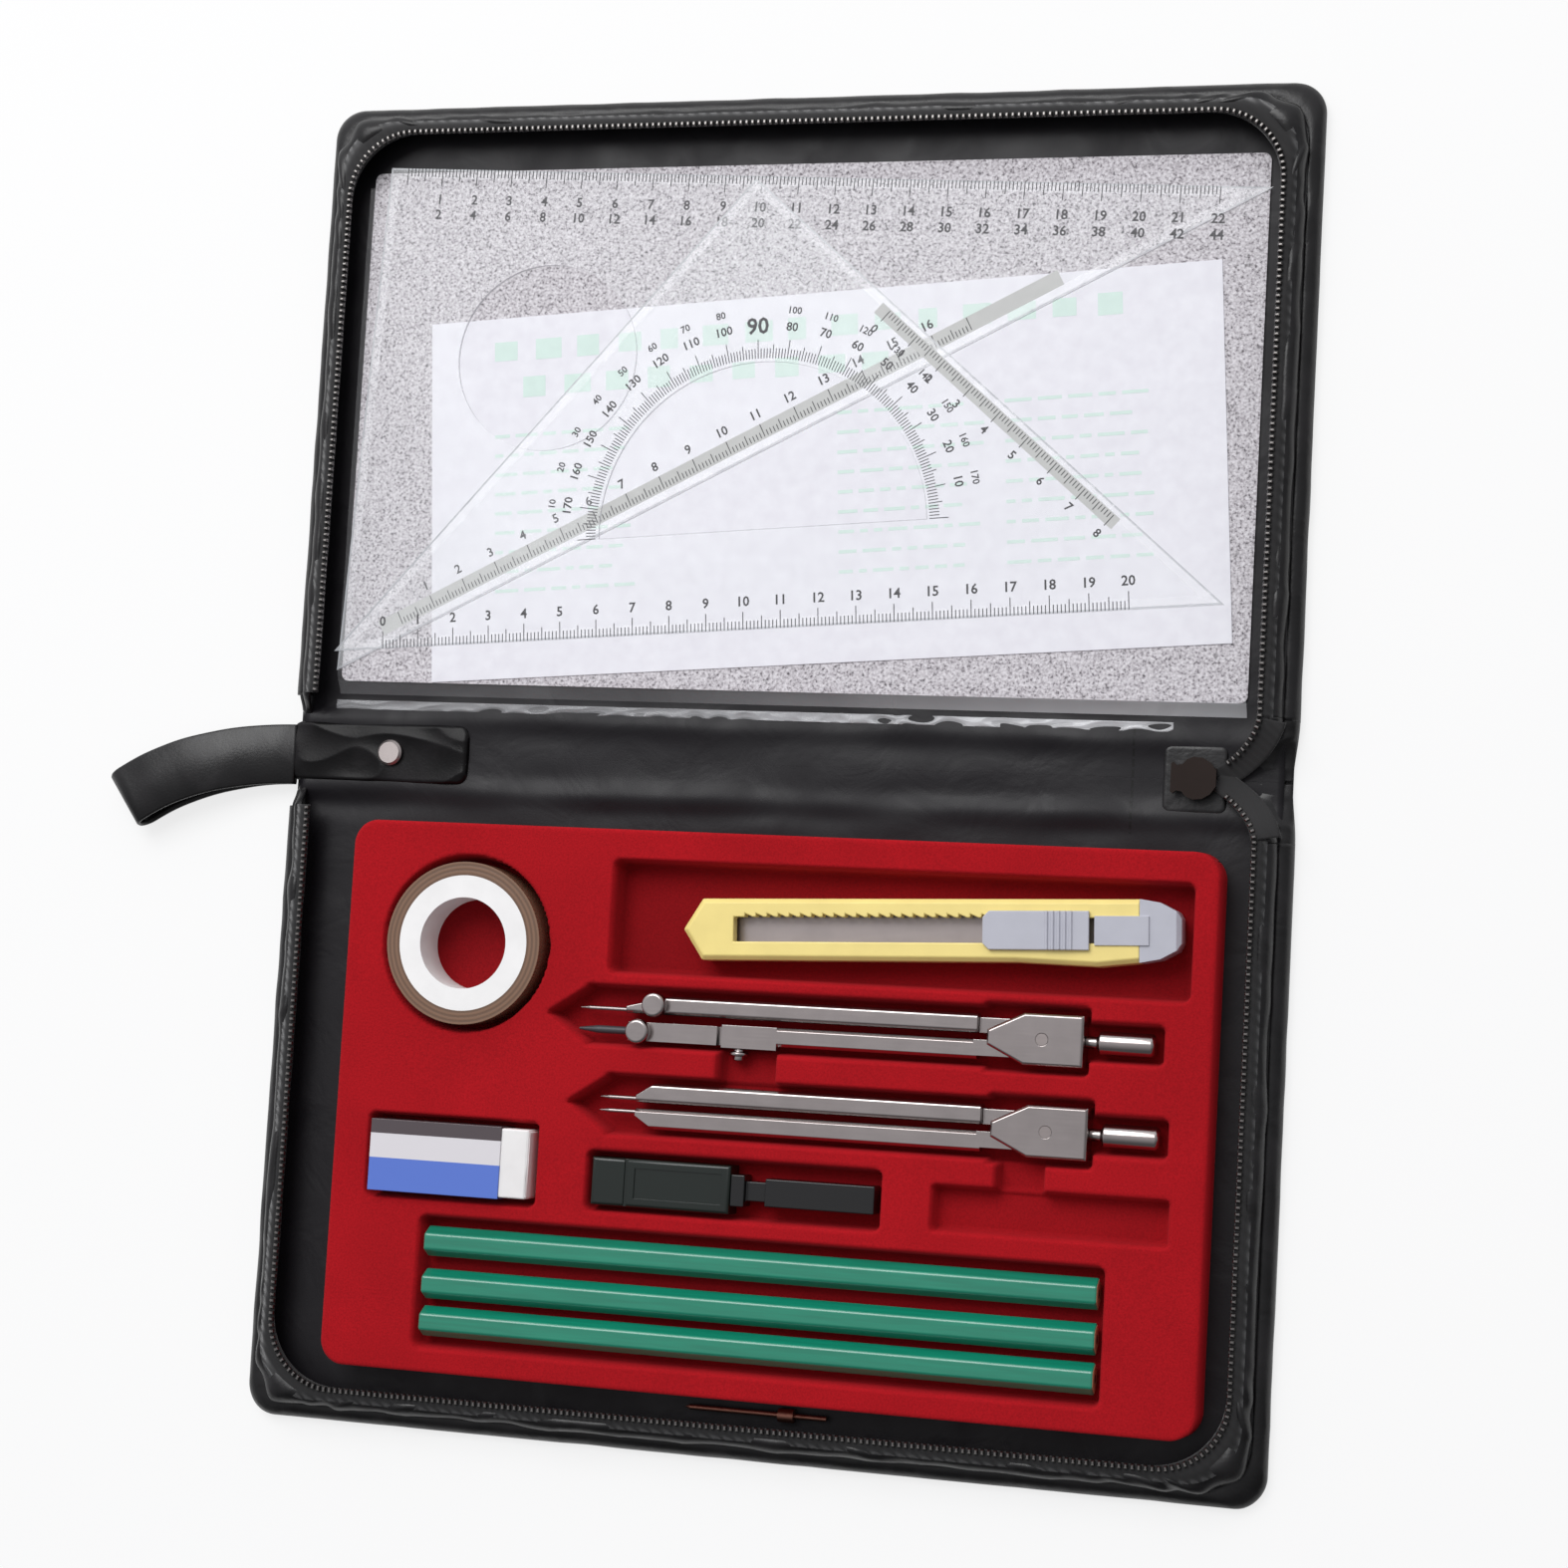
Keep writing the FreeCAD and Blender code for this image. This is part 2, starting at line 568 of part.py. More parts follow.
# Bell outline of the slider pull, as shares of its length and half width
PULL_SHARES = [(0, 0.36), (0.12, 0.73), (0.3, 0.96), (0.5, 1), (0.66, 0.86)]
PULL_SHARES += [(0.75, 0.64), (0.87, 0.6), (0.95, 0.74), (1, 0.66)]


# Zip end on the spine: fabric tab, slider and hinged pull
def zip_end():
    tab = body("zip_end_tab", "tab_x", SPINE_MIDDLE, FLOOR)
    drawn = sketch(tab, "zip_end_tab_outline")
    rectangle(drawn, "0", "0", "tab_long", "spine_width - 2 * fold_room")
    pad(tab, drawn, "zip_tape_thick")
    slider = body("zip_slider", "tab_x", SPINE_MIDDLE, f"{FLOOR} + zip_tape_thick")
    drawn = sketch(slider, "zip_slider_outline")
    wide, long = "zip_slider_wide", "zip_slider_long"
    waist = [(f"-{long} / 2", f"-{wide} / 4"), ("0", f"-{wide} / 2"), (f"{long} / 2", f"-{wide} / 3")]
    waist += [(f"{long} / 2", f"{wide} / 3"), ("0", f"{wide} / 2"), (f"-{long} / 2", f"{wide} / 4")]
    polygon(drawn, waist)
    pad(slider, drawn, "zip_slider_high")
    level = f"{FLOOR} + zip_tape_thick + zip_slider_high + pull_gap"
    pull = body("zip_pull", "tab_x + pull_long / 2", SPINE_MIDDLE, level)
    drawn = sketch(pull, "zip_pull_outline")
    side, reach = "pull_wide / 2", "pull_long"
    upper = [(f"-{reach} * {x}", f"{side} * {y}") for x, y in PULL_SHARES]
    lower = [(f"-{reach} * {x}", f"-{side} * {y}") for x, y in reversed(PULL_SHARES)]
    polygon(drawn, upper + lower)
    pad(pull, drawn, "pull_thick")


zip_end()


# Red flocked tray: one pad, and a pocket for each recess
def flocked_tray():
    made = body("flocked_tray", "tray_x", "tray_y", FLOOR)
    drawn = sketch(made, "tray_block")
    rectangle(drawn, "0", "tray_back / 2", "tray_wide", "tray_deep + tray_back")
    block = round_edges(made, pad(made, drawn, "tray_high"), "tray_round", upright)
    round_edges(made, block, "tray_lip", at_height(number("tray_high")))

    def recess(name, deep, draw, *shape):
        drawn = sketch(made, name, rise="tray_high")
        draw(drawn, *shape)
        pocket(made, drawn, deep)

    recess("tape_bay", "tape_deep", circle, "tape_x", "tape_y", "tape_radius + tape_room")
    bay = "cutter_bay_x", "cutter_bay_y", "cutter_bay_long", "cutter_bay_wide"
    recess("cutter_bay", "cutter_deep", rectangle, *bay)
    for name, reach in REACHES.items():
        x, y = f"{name}_x", f"{name}_y"
        tip = f"{x} - {reach} - bay_half"
        shoulder = f"{x} - {reach} + bay_half / 2"
        throat, back = f"{x} - bar_root", f"{x} + head_back + bay_room"
        end = f"{x} + head_back + handle_neck + handle_long + 2 * bay_room"
        half, head, grip = "bay_half", "bay_head_half", "bay_handle_half"
        upper = [(tip, y), (shoulder, f"{y} + {half}"), (throat, f"{y} + {half}"), (throat, f"{y} + {head}")]
        upper += [(back, f"{y} + {head}"), (back, f"{y} + {grip}"), (end, f"{y} + {grip}")]
        lower = [(end, f"{y} - {grip}"), (back, f"{y} - {grip}"), (back, f"{y} - {head}")]
        lower += [(throat, f"{y} - {head}"), (throat, f"{y} - {half}"), (shoulder, f"{y} - {half}")]
        recess(f"{name}_bay", "bay_deep", polygon, upper + lower)
    notch_x = "compass_x - knee_reach"
    span = "compass_y - divider_y"
    recess("leg_notch", "notch_deep", rectangle, notch_x, "(compass_y + divider_y) / 2", "notch_wide", span)
    recess("spare_bay", "spare_deep", rectangle, "spare_x", "spare_y", "spare_long", "spare_wide")
    span = "divider_y - spare_y"
    notch_x, notch_y = "divider_x - head_notch_in", "(divider_y + spare_y) / 2"
    recess("head_notch", "spare_deep", rectangle, notch_x, notch_y, "head_notch_wide", span)
    room = "2 * bay_room"
    long, wide = f"eraser_long + {room}", f"eraser_wide + {room}"
    recess("eraser_bay", "eraser_deep", rectangle, "eraser_x", "eraser_y", long, wide)
    box_long = f"lead_box_long + lead_neck_long + lead_cap_long + {room}"
    box_wide = f"lead_box_wide + {room}"
    recess("lead_bay", "lead_deep", rectangle, "lead_box_x", "lead_box_y", box_long, box_wide)
    middle = "(pencil_a_y + pencil_c_y) / 2"
    deep = f"pencil_a_y - pencil_c_y + pencil_flats + 3 * {room}"
    recess("pencil_bay", "pencil_deep", rectangle, "pencil_x", middle, f"pencil_long + {room}", deep)


flocked_tray()


def seat(deep):
    """The height of a recess floor."""
    return f"{TRAY_TOP} - {deep}"


def on_tray(name):
    """An instrument's place on the tray."""
    return f"tray_x + {name}_x", f"tray_y + {name}_y"


def ring(label, outside, inside, x, y, z, high):
    """A plain ring."""
    made = body(label, x, y, z)
    drawn = sketch(made, label + "_outline")
    circle(drawn, "0", "0", outside)
    circle(drawn, "0", "0", inside)
    pad(made, drawn, high)


# Tape roll
ring("tape_core", "tape_core_radius", "tape_bore_radius", *on_tray("tape"), seat("tape_deep"), "tape_wide")
ring("tape_winding", "tape_radius", "tape_core_radius", *on_tray("tape"), seat("tape_deep"), "tape_wide")


# Cutter, with its nose at the local origin and its length along X
def cutter():
    where = (*on_tray("cutter"), seat("cutter_deep"), "cutter_turn")
    case = body("cutter_body", *where)
    drawn = sketch(case, "cutter_outline")
    end = "(cutter_long - cutter_cap_long)"
    wide, taper = "cutter_half", "cutter_nose_long"
    rest = f"{end} - cutter_cap_long"
    shape = [("0", "0"), (taper, f"-{wide}"), (f"{rest} - 2 * cutter_cap_long", f"-{wide}")]
    shape += [(rest, f"-{wide} - cutter_belly"), (end, f"-{wide}"), (end, wide), (taper, wide)]
    polygon(drawn, shape)
    solid = pad(case, drawn, "cutter_thick")
    top = at_height(number("cutter_thick"))
    before = number(end) - 1e-6
    bevel_edges(case, solid, "cutter_edge", lambda edge: top(edge) and edge.CenterOfMass.x < before)
    bore = sketch(case, "cutter_bore", rise="cutter_bore_low")
    rectangle(bore, f"{end} / 2", "0", end, "2 * cutter_bore_half")
    pocket(case, bore, "cutter_bore_high", back=True)
    window = sketch(case, "cutter_window", rise="cutter_thick")
    middle = "cutter_window_x + cutter_window_long / 2"
    rectangle(window, middle, "0", "cutter_window_long", "2 * cutter_window_half")
    pocket(case, window, "cutter_thick - cutter_bore_low - cutter_bore_high / 2")
    tooth = sketch(case, "cutter_ratchet", rise="cutter_thick")
    side = "cutter_window_half"
    start = "cutter_window_x + ratchet_pitch"
    depth = f"{side} + ratchet_deep"
    back = f"{start} + ratchet_pitch * 0.7"
    polygon(tooth, [(start, f"-{depth}"), (back, f"-{side}"), (back, side), (start, depth)])
    cut = pocket(case, tooth, "cutter_thick - cutter_bore_low - cutter_bore_high")
    row = case.newObject("PartDesign::LinearPattern", "cutter_ratchet_row")
    row.Originals = [cut]
    row.Direction = (tooth, ["H_Axis"])
    row.setExpression("Length", bound("ratchet_pitch * (ratchet_count - 1)"))
    row.setExpression("Occurrences", bound("ratchet_count"))
    case.Tip = row
    doc.recompute()
    channel = body("cutter_channel", *where)
    fit = "slide_fit"
    drawn = sketch(channel, "cutter_channel_outline", rise=f"cutter_bore_low + {fit}")
    rectangle(drawn, f"{end} / 2", "0", f"{end} - 2.4 * {taper}", f"2 * cutter_bore_half - 2 * {fit}")
    pad(channel, drawn, "cutter_bore_high / 2")
    groove = sketch(channel, "cutter_channel_groove", rise=f"cutter_bore_low + {fit} + cutter_bore_high / 2")
    rectangle(groove, f"{end} / 2", "0", end, f"blade_wide + 2 * {fit}")
    pocket(channel, groove, f"blade_thick + 2 * {fit}")
    cap = body("cutter_cap", *where)
    drawn = sketch(cap, "cutter_cap_outline")
    long, grip = "cutter_long", "cutter_half"
    tail, bend = "cap_end_half", f"({end} + cutter_cap_long / 2)"
    swell = f"({tail} / 4 + {grip} * 3 / 4)"
    shape = [(end, f"-{grip}"), (bend, f"-{swell}"), (long, f"-{tail}")]
    shape += [(long, tail), (bend, swell), (end, grip)]
    polygon(drawn, shape)
    solid = pad(cap, drawn, "cutter_thick")
    bevel_edges(cap, solid, "cutter_edge", lambda edge: edge.CenterOfMass.x > number(long) - 1e-6)
    tongue = sketch(cap, "cutter_cap_tongue", rise="cutter_thick")
    middle, long = f"{end} - cap_tongue_long / 2 + cutter_edge", "cap_tongue_long + 2 * cutter_edge"
    rectangle(tongue, middle, "0", long, "2 * cap_tongue_half")
    pad(cap, tongue, "cap_tongue_thick")
    level = "cutter_bore_low + cutter_bore_high / 2 - blade_thick"
    blade = body("cutter_blade", *where)
    drawn = sketch(blade, "cutter_blade_outline", rise=level)
    start, edge = "blade_in", "blade_wide / 2"
    shape = [(start, f"-{edge}"), ("blade_long", f"-{edge}")]
    shape += [("blade_long", edge), (f"{start} + blade_wide / 2", edge)]
    polygon(drawn, shape)
    pad(blade, drawn, "blade_thick")
    slider = body("cutter_slider", *where)
    foot = sketch(slider, "cutter_slider_foot", rise=f"{level} + blade_thick")
    middle = "slider_x + slider_long / 2"
    rectangle(foot, middle, "0", "slider_long - 2", f"2 * cutter_window_half - 4 * {fit}")
    pad(slider, foot, f"cutter_thick + {fit} - ({level} + blade_thick)")
    plate = sketch(slider, "cutter_slider_plate", rise=f"cutter_thick + {fit}")
    front, corner, side = "slider_x", "slider_bevel", "slider_half"
    back = f"{front} + slider_long"
    shape = [(front, f"{corner} - {side}"), (f"{front} + {corner}", f"-{side}"), (back, f"-{side}")]
    shape += [(back, side), (f"{front} + {corner}", side), (front, f"{side} - {corner}")]
    polygon(plate, shape)
    pad(slider, plate, "slider_high")
    ridge = sketch(slider, "cutter_slider_ridge", rise=f"cutter_thick + {fit} + slider_high")
    rectangle(ridge, f"{front} + ridge_start", "0", "ridge_wide", f"2 * {side}")
    bump = pad(slider, ridge, "ridge_high")
    row = slider.newObject("PartDesign::LinearPattern", "cutter_slider_ridges")
    row.Originals = [bump]
    row.Direction = (ridge, ["H_Axis"])
    row.setExpression("Length", bound("ridge_pitch * (ridge_count - 1)"))
    row.setExpression("Occurrences", bound("ridge_count"))
    slider.Tip = row
    doc.recompute()


cutter()


# Compass and divider, each with its pivot at the local origin and its legs along -X
SLOT_LOW = "(cheek_thick + leg_fit)"
SLOT_HIGH = "(head_thick - cheek_thick - leg_fit)"
SLOT_MIDDLE = "(head_thick / 2)"


def instrument_head(tool):
    """Forked head, pivot pin and turned handle of the compass or the divider."""
    where = (*on_tray(tool), seat("bay_deep"))
    head = body(f"{tool}_head", *where)
    drawn = sketch(head, f"{tool}_head_outline")
    side = "head_half"
    shape = [("-head_nose", "-head_nose_half"), ("-head_nose / 3", f"-{side}"), ("head_back", f"-{side}")]
    shape += [("head_back", side), ("-head_nose / 3", side), ("-head_nose", "head_nose_half")]
    polygon(drawn, shape)
    solid = pad(head, drawn, "head_thick")
    bevel_edges(head, solid, "head_bevel", at_height(number("head_thick")))
    slot = sketch(head, f"{tool}_head_slot", plane="XZ_Plane")
    corners = [("-head_nose - 1", "cheek_thick"), ("slot_back", "cheek_thick")]
    corners += [("slot_back", "head_thick - cheek_thick"), ("-head_nose - 1", "head_thick - cheek_thick")]
    polygon(slot, corners)
    pocket(head, slot, "4 * head_half", both=True)
    hole = sketch(head, f"{tool}_head_hole", rise="head_thick")
    circle(hole, "0", "0", "pivot_radius")
    pocket(head, hole, "head_thick")
    pin = body(f"{tool}_pivot", *where)
    drawn = sketch(pin, f"{tool}_pivot_outline")
    circle(drawn, "0", "0", "pivot_radius")
    pad(pin, drawn, "head_thick")
    handle = body(f"{tool}_handle", where[0], where[1], f"{where[2]} + head_thick / 2")
    drawn = sketch(handle, f"{tool}_handle_profile", plane="XZ_Plane")
    start, knurl = "head_back", "head_back + handle_neck"
    end = f"{knurl} + handle_long"
    neck, grip = "handle_neck_radius", "handle_radius"
    profile = [(start, "0"), (start, neck), (knurl, neck), (f"{knurl} + handle_bevel", grip)]
    profile += [(f"{end} - handle_bevel", grip), (end, f"{grip} - handle_bevel"), (end, "0")]
    polygon(drawn, profile)
    turned(handle, drawn)


def leg_eye(owner, name, low, high):
    """The tongue and round eye by which a leg turns on the pivot."""
    tongue = sketch(owner, name + "_tongue", rise=low)
    side = name_side(name)
    outer = f"{side} * bar_wide"
    inner = f"{side} * bar_split"
    polygon(tongue, [("-bar_root - 1", inner), ("0", inner), ("0", outer), ("-bar_root - 1", outer)])
    pad(owner, tongue, f"{high} - {low}")
    eye = sketch(owner, name + "_eye", rise=low)
    circle(eye, "0", "0", "eye_radius")
    pad(owner, eye, f"{high} - {low}")
    hole = sketch(owner, name + "_hole", rise=high)
    circle(hole, "0", "0", "pivot_radius + pivot_fit")
    pocket(owner, hole, f"{high} - {low}")


def name_side(name):
    """Legs on the +Y side carry 1, those on the -Y side -1."""
    return "-1" if name in ("lead_leg", "divider_leg_front") else "1"


def leg(tool, name, wide, reach, taper, low, high):
    """A straight leg that tapers to its end, with its eye in one half of the slot."""
    made = body(name, *on_tray(tool), seat("bay_deep"))
    drawn = sketch(made, name + "_bar", rise=SLOT_LOW)
    side = name_side(name)
    inner, outer = f"{side} * bar_split", f"{side} * (bar_split + {wide})"
    tip = f"{side} * (bar_split + leg_tip_wide)"
    shape = [("-bar_root", inner), ("-bar_root", outer)]
    shape += [(f"{taper} - {reach}", outer), (f"-{reach}", tip), (f"-{reach}", inner)]
    polygon(drawn, shape)
    bar = pad(made, drawn, f"{SLOT_HIGH} - {SLOT_LOW}")
    bevel_edges(made, bar, "leg_bevel", at_height(number(SLOT_HIGH), number("2 * leg_taper")))
    leg_eye(made, name, low, high)
    return made


def point(label, tool, y, start, reach, radius, blunt):
    """A round point or lead along a leg, sharpened to its tip."""
    made = body(label, on_tray(tool)[0], f"{on_tray(tool)[1]} + {y}", f"{seat('bay_deep')} + {SLOT_MIDDLE}")
    drawn = sketch(made, label + "_profile", plane="XZ_Plane")
    tip = f"-{reach}"
    shape = [(tip, "0"), (tip, blunt), (f"{tip} + 5 * {radius}", radius)]
    shape += [(f"-{start}", radius), (f"-{start}", "0")]
    polygon(drawn, shape)
    turned(made, drawn)


def knob(label, x, y):
    """A round clamp knob on top of a leg."""
    east, north = on_tray("compass")
    made = body(label, f"{east} + {x}", f"{north} + {y}", f"{seat('bay_deep')} + {SLOT_HIGH}")
    drawn = sketch(made, label + "_outline")
    circle(drawn, "0", "0", "knob_radius")
    solid = pad(made, drawn, "knob_high")
    bevel_edges(made, solid, "knob_bevel", at_height(number("knob_high")))


LOWER_EYE = (SLOT_LOW, f"({SLOT_MIDDLE} - leg_fit / 2)")
UPPER_EYE = (f"({SLOT_MIDDLE} + leg_fit / 2)", SLOT_HIGH)
KNEE_Y = "-(bar_split + knee_half)"


def compass():
    instrument_head("compass")
    leg("compass", "needle_leg", "bar_wide", "needle_leg_long", "leg_taper", *LOWER_EYE)
    knob("needle_knob", "leg_taper / 2 - needle_leg_long + 2", "bar_wide / 2 + bar_split")
    tip, reach = "bar_split + leg_tip_wide / 2", REACHES["compass"]
    point("compass_needle", "compass", tip, "needle_leg_long", reach, "needle_radius", "needle_radius / 5")
    lower = leg("compass", "lead_leg", "bar_wide", "knee_reach", "1", *UPPER_EYE)
    knuckle = sketch(lower, "knee_block", rise=SLOT_LOW)
    rectangle(knuckle, "-knee_reach", KNEE_Y, "5 * knee_half", "2 * knee_half")
    pad(lower, knuckle, f"{SLOT_HIGH} - {SLOT_LOW}")
    fork = sketch(lower, "knee_fork", plane="XZ_Plane")
    third = f"({SLOT_HIGH} - {SLOT_LOW}) / 3"
    low, high = f"{SLOT_LOW} + {third}", f"{SLOT_HIGH} - {third}"
    left, right = "-knee_reach - 3 * knee_half", "knee_half + fork_room - knee_reach"
    polygon(fork, [(left, low), (right, low), (right, high), (left, high)])
    pocket(lower, fork, "8 * knee_half", both=True)
    pin = sketch(lower, "knee_pin", rise=low)
    circle(pin, "-knee_reach", KNEE_Y, "knee_pin_radius")
    pad(lower, pin, f"{high} - ({low})")
    arm = body("lead_arm", *on_tray("compass"), seat("bay_deep"))
    drawn = sketch(arm, "lead_arm_bar", rise=SLOT_LOW)
    front = "-knee_reach - 2.5 * knee_half - arm_gap"
    end = "-knee_reach - arm_long"
    shape = [(front, f"{KNEE_Y} - bar_wide / 2"), (front, f"{KNEE_Y} + bar_wide / 2")]
    shape += [(end, f"{KNEE_Y} + bar_wide / 2"), (end, f"{KNEE_Y} - bar_wide / 2")]
    polygon(drawn, shape)
    pad(arm, drawn, f"{SLOT_HIGH} - {SLOT_LOW}")
    tongue = sketch(arm, "lead_arm_tongue", rise=f"{low} + leg_fit")
    half = "(knee_half - fork_room)"
    polygon(
        tongue,
        [(f"{front} - 1", f"{KNEE_Y} - {half}"), ("-knee_reach", f"{KNEE_Y} - {half}")]
        + [("-knee_reach", f"{KNEE_Y} + {half}"), (f"{front} - 1", f"{KNEE_Y} + {half}")],
    )
    pad(arm, tongue, f"{third} - 2 * leg_fit")
    eye = sketch(arm, "lead_arm_eye", rise=f"{low} + leg_fit")
    circle(eye, "-knee_reach", KNEE_Y, half)
    pad(arm, eye, f"{third} - 2 * leg_fit")
    hole = sketch(arm, "lead_arm_hole", rise=high)
    circle(hole, "-knee_reach", KNEE_Y, "knee_pin_radius + pivot_fit")
    pocket(arm, hole, third)
    knob("lead_knob", f"{end} + 3", KNEE_Y)
    start = "(knee_reach + arm_long)"
    point("compass_lead", "compass", KNEE_Y, start, reach, "lead_radius", "lead_radius / 3")
    east, north = on_tray("compass")
    screw = body("knee_screw", f"{east} - knee_reach - knee_half", north, seat("bay_deep"))
    drawn = sketch(screw, "knee_screw_outline", plane="XZ_Plane", rise="bar_split + 2 * knee_half")
    circle(drawn, "0", SLOT_MIDDLE, "handle_neck_radius")
    pad(screw, drawn, "knob_high")
    wing = sketch(screw, "knee_screw_wing", plane="XZ_Plane", rise="bar_split + 2 * knee_half + wing_thick")
    circle(wing, "0", SLOT_MIDDLE, "wing_radius")
    pad(screw, wing, "wing_thick")


compass()


def divider():
    instrument_head("divider")
    for name, eye, side in (("divider_leg_back", LOWER_EYE, "1"), ("divider_leg_front", UPPER_EYE, "-1")):
        leg("divider", name, "divider_bar_wide", "divider_leg_long", "divider_taper", *eye)
        middle = f"{side} * (bar_split + leg_tip_wide / 2)"
        label = name.replace("leg", "point")
        reach, blunt = REACHES["divider"], "needle_radius / 5"
        point(label, "divider", middle, "divider_leg_long", reach, "needle_radius", blunt)


divider()


# Eraser block in its open-ended sleeve
def eraser():
    x, y = on_tray("eraser")
    block = body("eraser_block", x, y, f"{seat('eraser_deep')} + sleeve_wall")
    drawn = sketch(block, "eraser_outline")
    rectangle(drawn, "0", "0", "eraser_long", "eraser_wide - 2 * sleeve_wall")
    solid = pad(block, drawn, "eraser_thick - 2 * sleeve_wall")
    end = number("eraser_long / 2") - 1e-6
    round_edges(block, solid, "eraser_edge", lambda edge: abs(edge.CenterOfMass.x) > end)
    sleeve = body("eraser_sleeve", f"{x} + (sleeve_long - eraser_long) / 2", y, seat("eraser_deep"))
    drawn = sketch(sleeve, "eraser_sleeve_section", plane="YZ_Plane")
    rectangle(drawn, "0", "eraser_thick / 2", "eraser_wide", "eraser_thick")
    inner = "eraser_wide - 2 * sleeve_wall", "eraser_thick - 2 * sleeve_wall"
    rectangle(drawn, "0", "eraser_thick / 2", *inner)
    pad(sleeve, drawn, "sleeve_long", both=True)


eraser()


# Lead box: body with a mouth, and a cap whose plug fills it
def lead_box():
    x, y = on_tray("lead_box")
    z = seat("lead_deep")
    total = "(lead_box_long + lead_neck_long + lead_cap_long)"
    mouth = f"(lead_box_long - {total} / 2)"
    box = body("lead_box_body", x, y, z)
    drawn = sketch(box, "lead_box_outline")
    rectangle(drawn, f"{mouth} - lead_box_long / 2", "0", "lead_box_long", "lead_box_wide")
    solid = pad(box, drawn, "lead_box_thick")
    round_edges(box, solid, "lead_box_edge", at_height(number("lead_box_thick")))
    panel = sketch(box, "lead_box_panel", rise="lead_box_thick")
    rectangle(panel, f"{mouth} - lead_box_long * 3 / 8", "0", "lead_box_long * 5 / 8", "lead_box_wide * 5 / 8")
    pocket(box, panel, "panel_deep")
    groove = sketch(box, "lead_box_groove", rise="lead_box_thick")
    rectangle(groove, f"{mouth} - lead_box_long * 3 / 4", "0", "groove_wide", "lead_box_wide")
    pocket(box, groove, "panel_deep")
    bore = sketch(box, "lead_box_mouth", plane="YZ_Plane", rise=mouth)
    wide, high = "lead_plug_wide + 2 * slide_fit", "lead_plug_thick + 2 * slide_fit"
    rectangle(bore, "0", "lead_box_thick / 2", wide, high)
    pocket(box, bore, "lead_plug_long + 1")
    cap = body("lead_box_cap", x, y, z)
    plug = sketch(cap, "lead_cap_plug", plane="YZ_Plane", rise=f"{mouth} - lead_plug_long")
    rectangle(plug, "0", "lead_box_thick / 2", "lead_plug_wide", "lead_plug_thick")
    pad(cap, plug, "lead_plug_long + 1")
    neck = sketch(cap, "lead_cap_neck", plane="YZ_Plane", rise=mouth)
    rectangle(neck, "0", "lead_box_thick / 2", "lead_cap_wide + 1", "lead_box_thick - 1")
    pad(cap, neck, "lead_neck_long * 0.4")
    waist = sketch(cap, "lead_cap_waist", plane="YZ_Plane", rise=f"{mouth} + lead_neck_long * 0.4")
    rectangle(waist, "0", "lead_box_thick / 2", "lead_plug_wide", "lead_plug_thick")
    pad(cap, waist, "lead_neck_long * 0.6")
    grip = sketch(cap, "lead_cap_grip", plane="YZ_Plane", rise=f"{mouth} + lead_neck_long")
    rectangle(grip, "0", "lead_box_thick / 2", "lead_cap_wide", "lead_box_thick - 1")
    pad(cap, grip, "lead_cap_long")


lead_box()


# Pencils: a hexagonal wooden barrel round a lead, as two solids of one node
def pencil(label, y):
    barrel = doc.addObject("Part::Prism", label + "_barrel")
    barrel.Polygon = 6
    barrel.Placement.Rotation = FreeCAD.Rotation(FreeCAD.Vector(0, 0, 1), 30)
    barrel.setExpression("Circumradius", bound("pencil_flats / sqrt(3)"))
    barrel.setExpression("Height", bound("pencil_long"))
    bore = doc.addObject("Part::Cylinder", label + "_bore")
    lead = doc.addObject("Part::Cylinder", label + "_lead")
    for core in (bore, lead):
        core.setExpression("Radius", bound("lead_radius"))
        core.setExpression("Height", bound("pencil_long"))
    wood = doc.addObject("Part::Cut", label + "_wood")
    wood.Base = barrel
    wood.Tool = bore
    both = doc.addObject("Part::Compound", label)
    both.Links = [wood, lead]
    both.Placement.Rotation = FreeCAD.Rotation(FreeCAD.Vector(0, 0, 1), FreeCAD.Vector(1, 0, 0))
    z = f"{seat('pencil_deep')} + pencil_flats / 2"
    place(both, "tray_x + pencil_x - pencil_long / 2", f"tray_y + {y}", z)
    part(label, both)


for letter in "abc":
    pencil(f"pencil_{letter}", f"pencil_{letter}_y")


# Spare needle bar, lying in the gap in front of the tray
def needle_bar():
    made = body("spare_needle_bar", "needle_bar_x", "needle_bar_y", f"{FLOOR} + collar_radius")
    drawn = sketch(made, "needle_bar_profile", plane="XZ_Plane")
    half, thin, thick = "needle_bar_long / 2", "needle_bar_radius", "collar_radius"
    start = "needle_bar_long / 6"
    end = f"{start} + collar_long"
    profile = [(f"-{half}", "0"), (f"2 * {thin} - {half}", thin), (start, thin), (start, thick)]
    profile += [(end, thick), (end, thin), (half, thin), (half, "0")]
    polygon(drawn, profile)
    turned(made, drawn)


needle_bar()


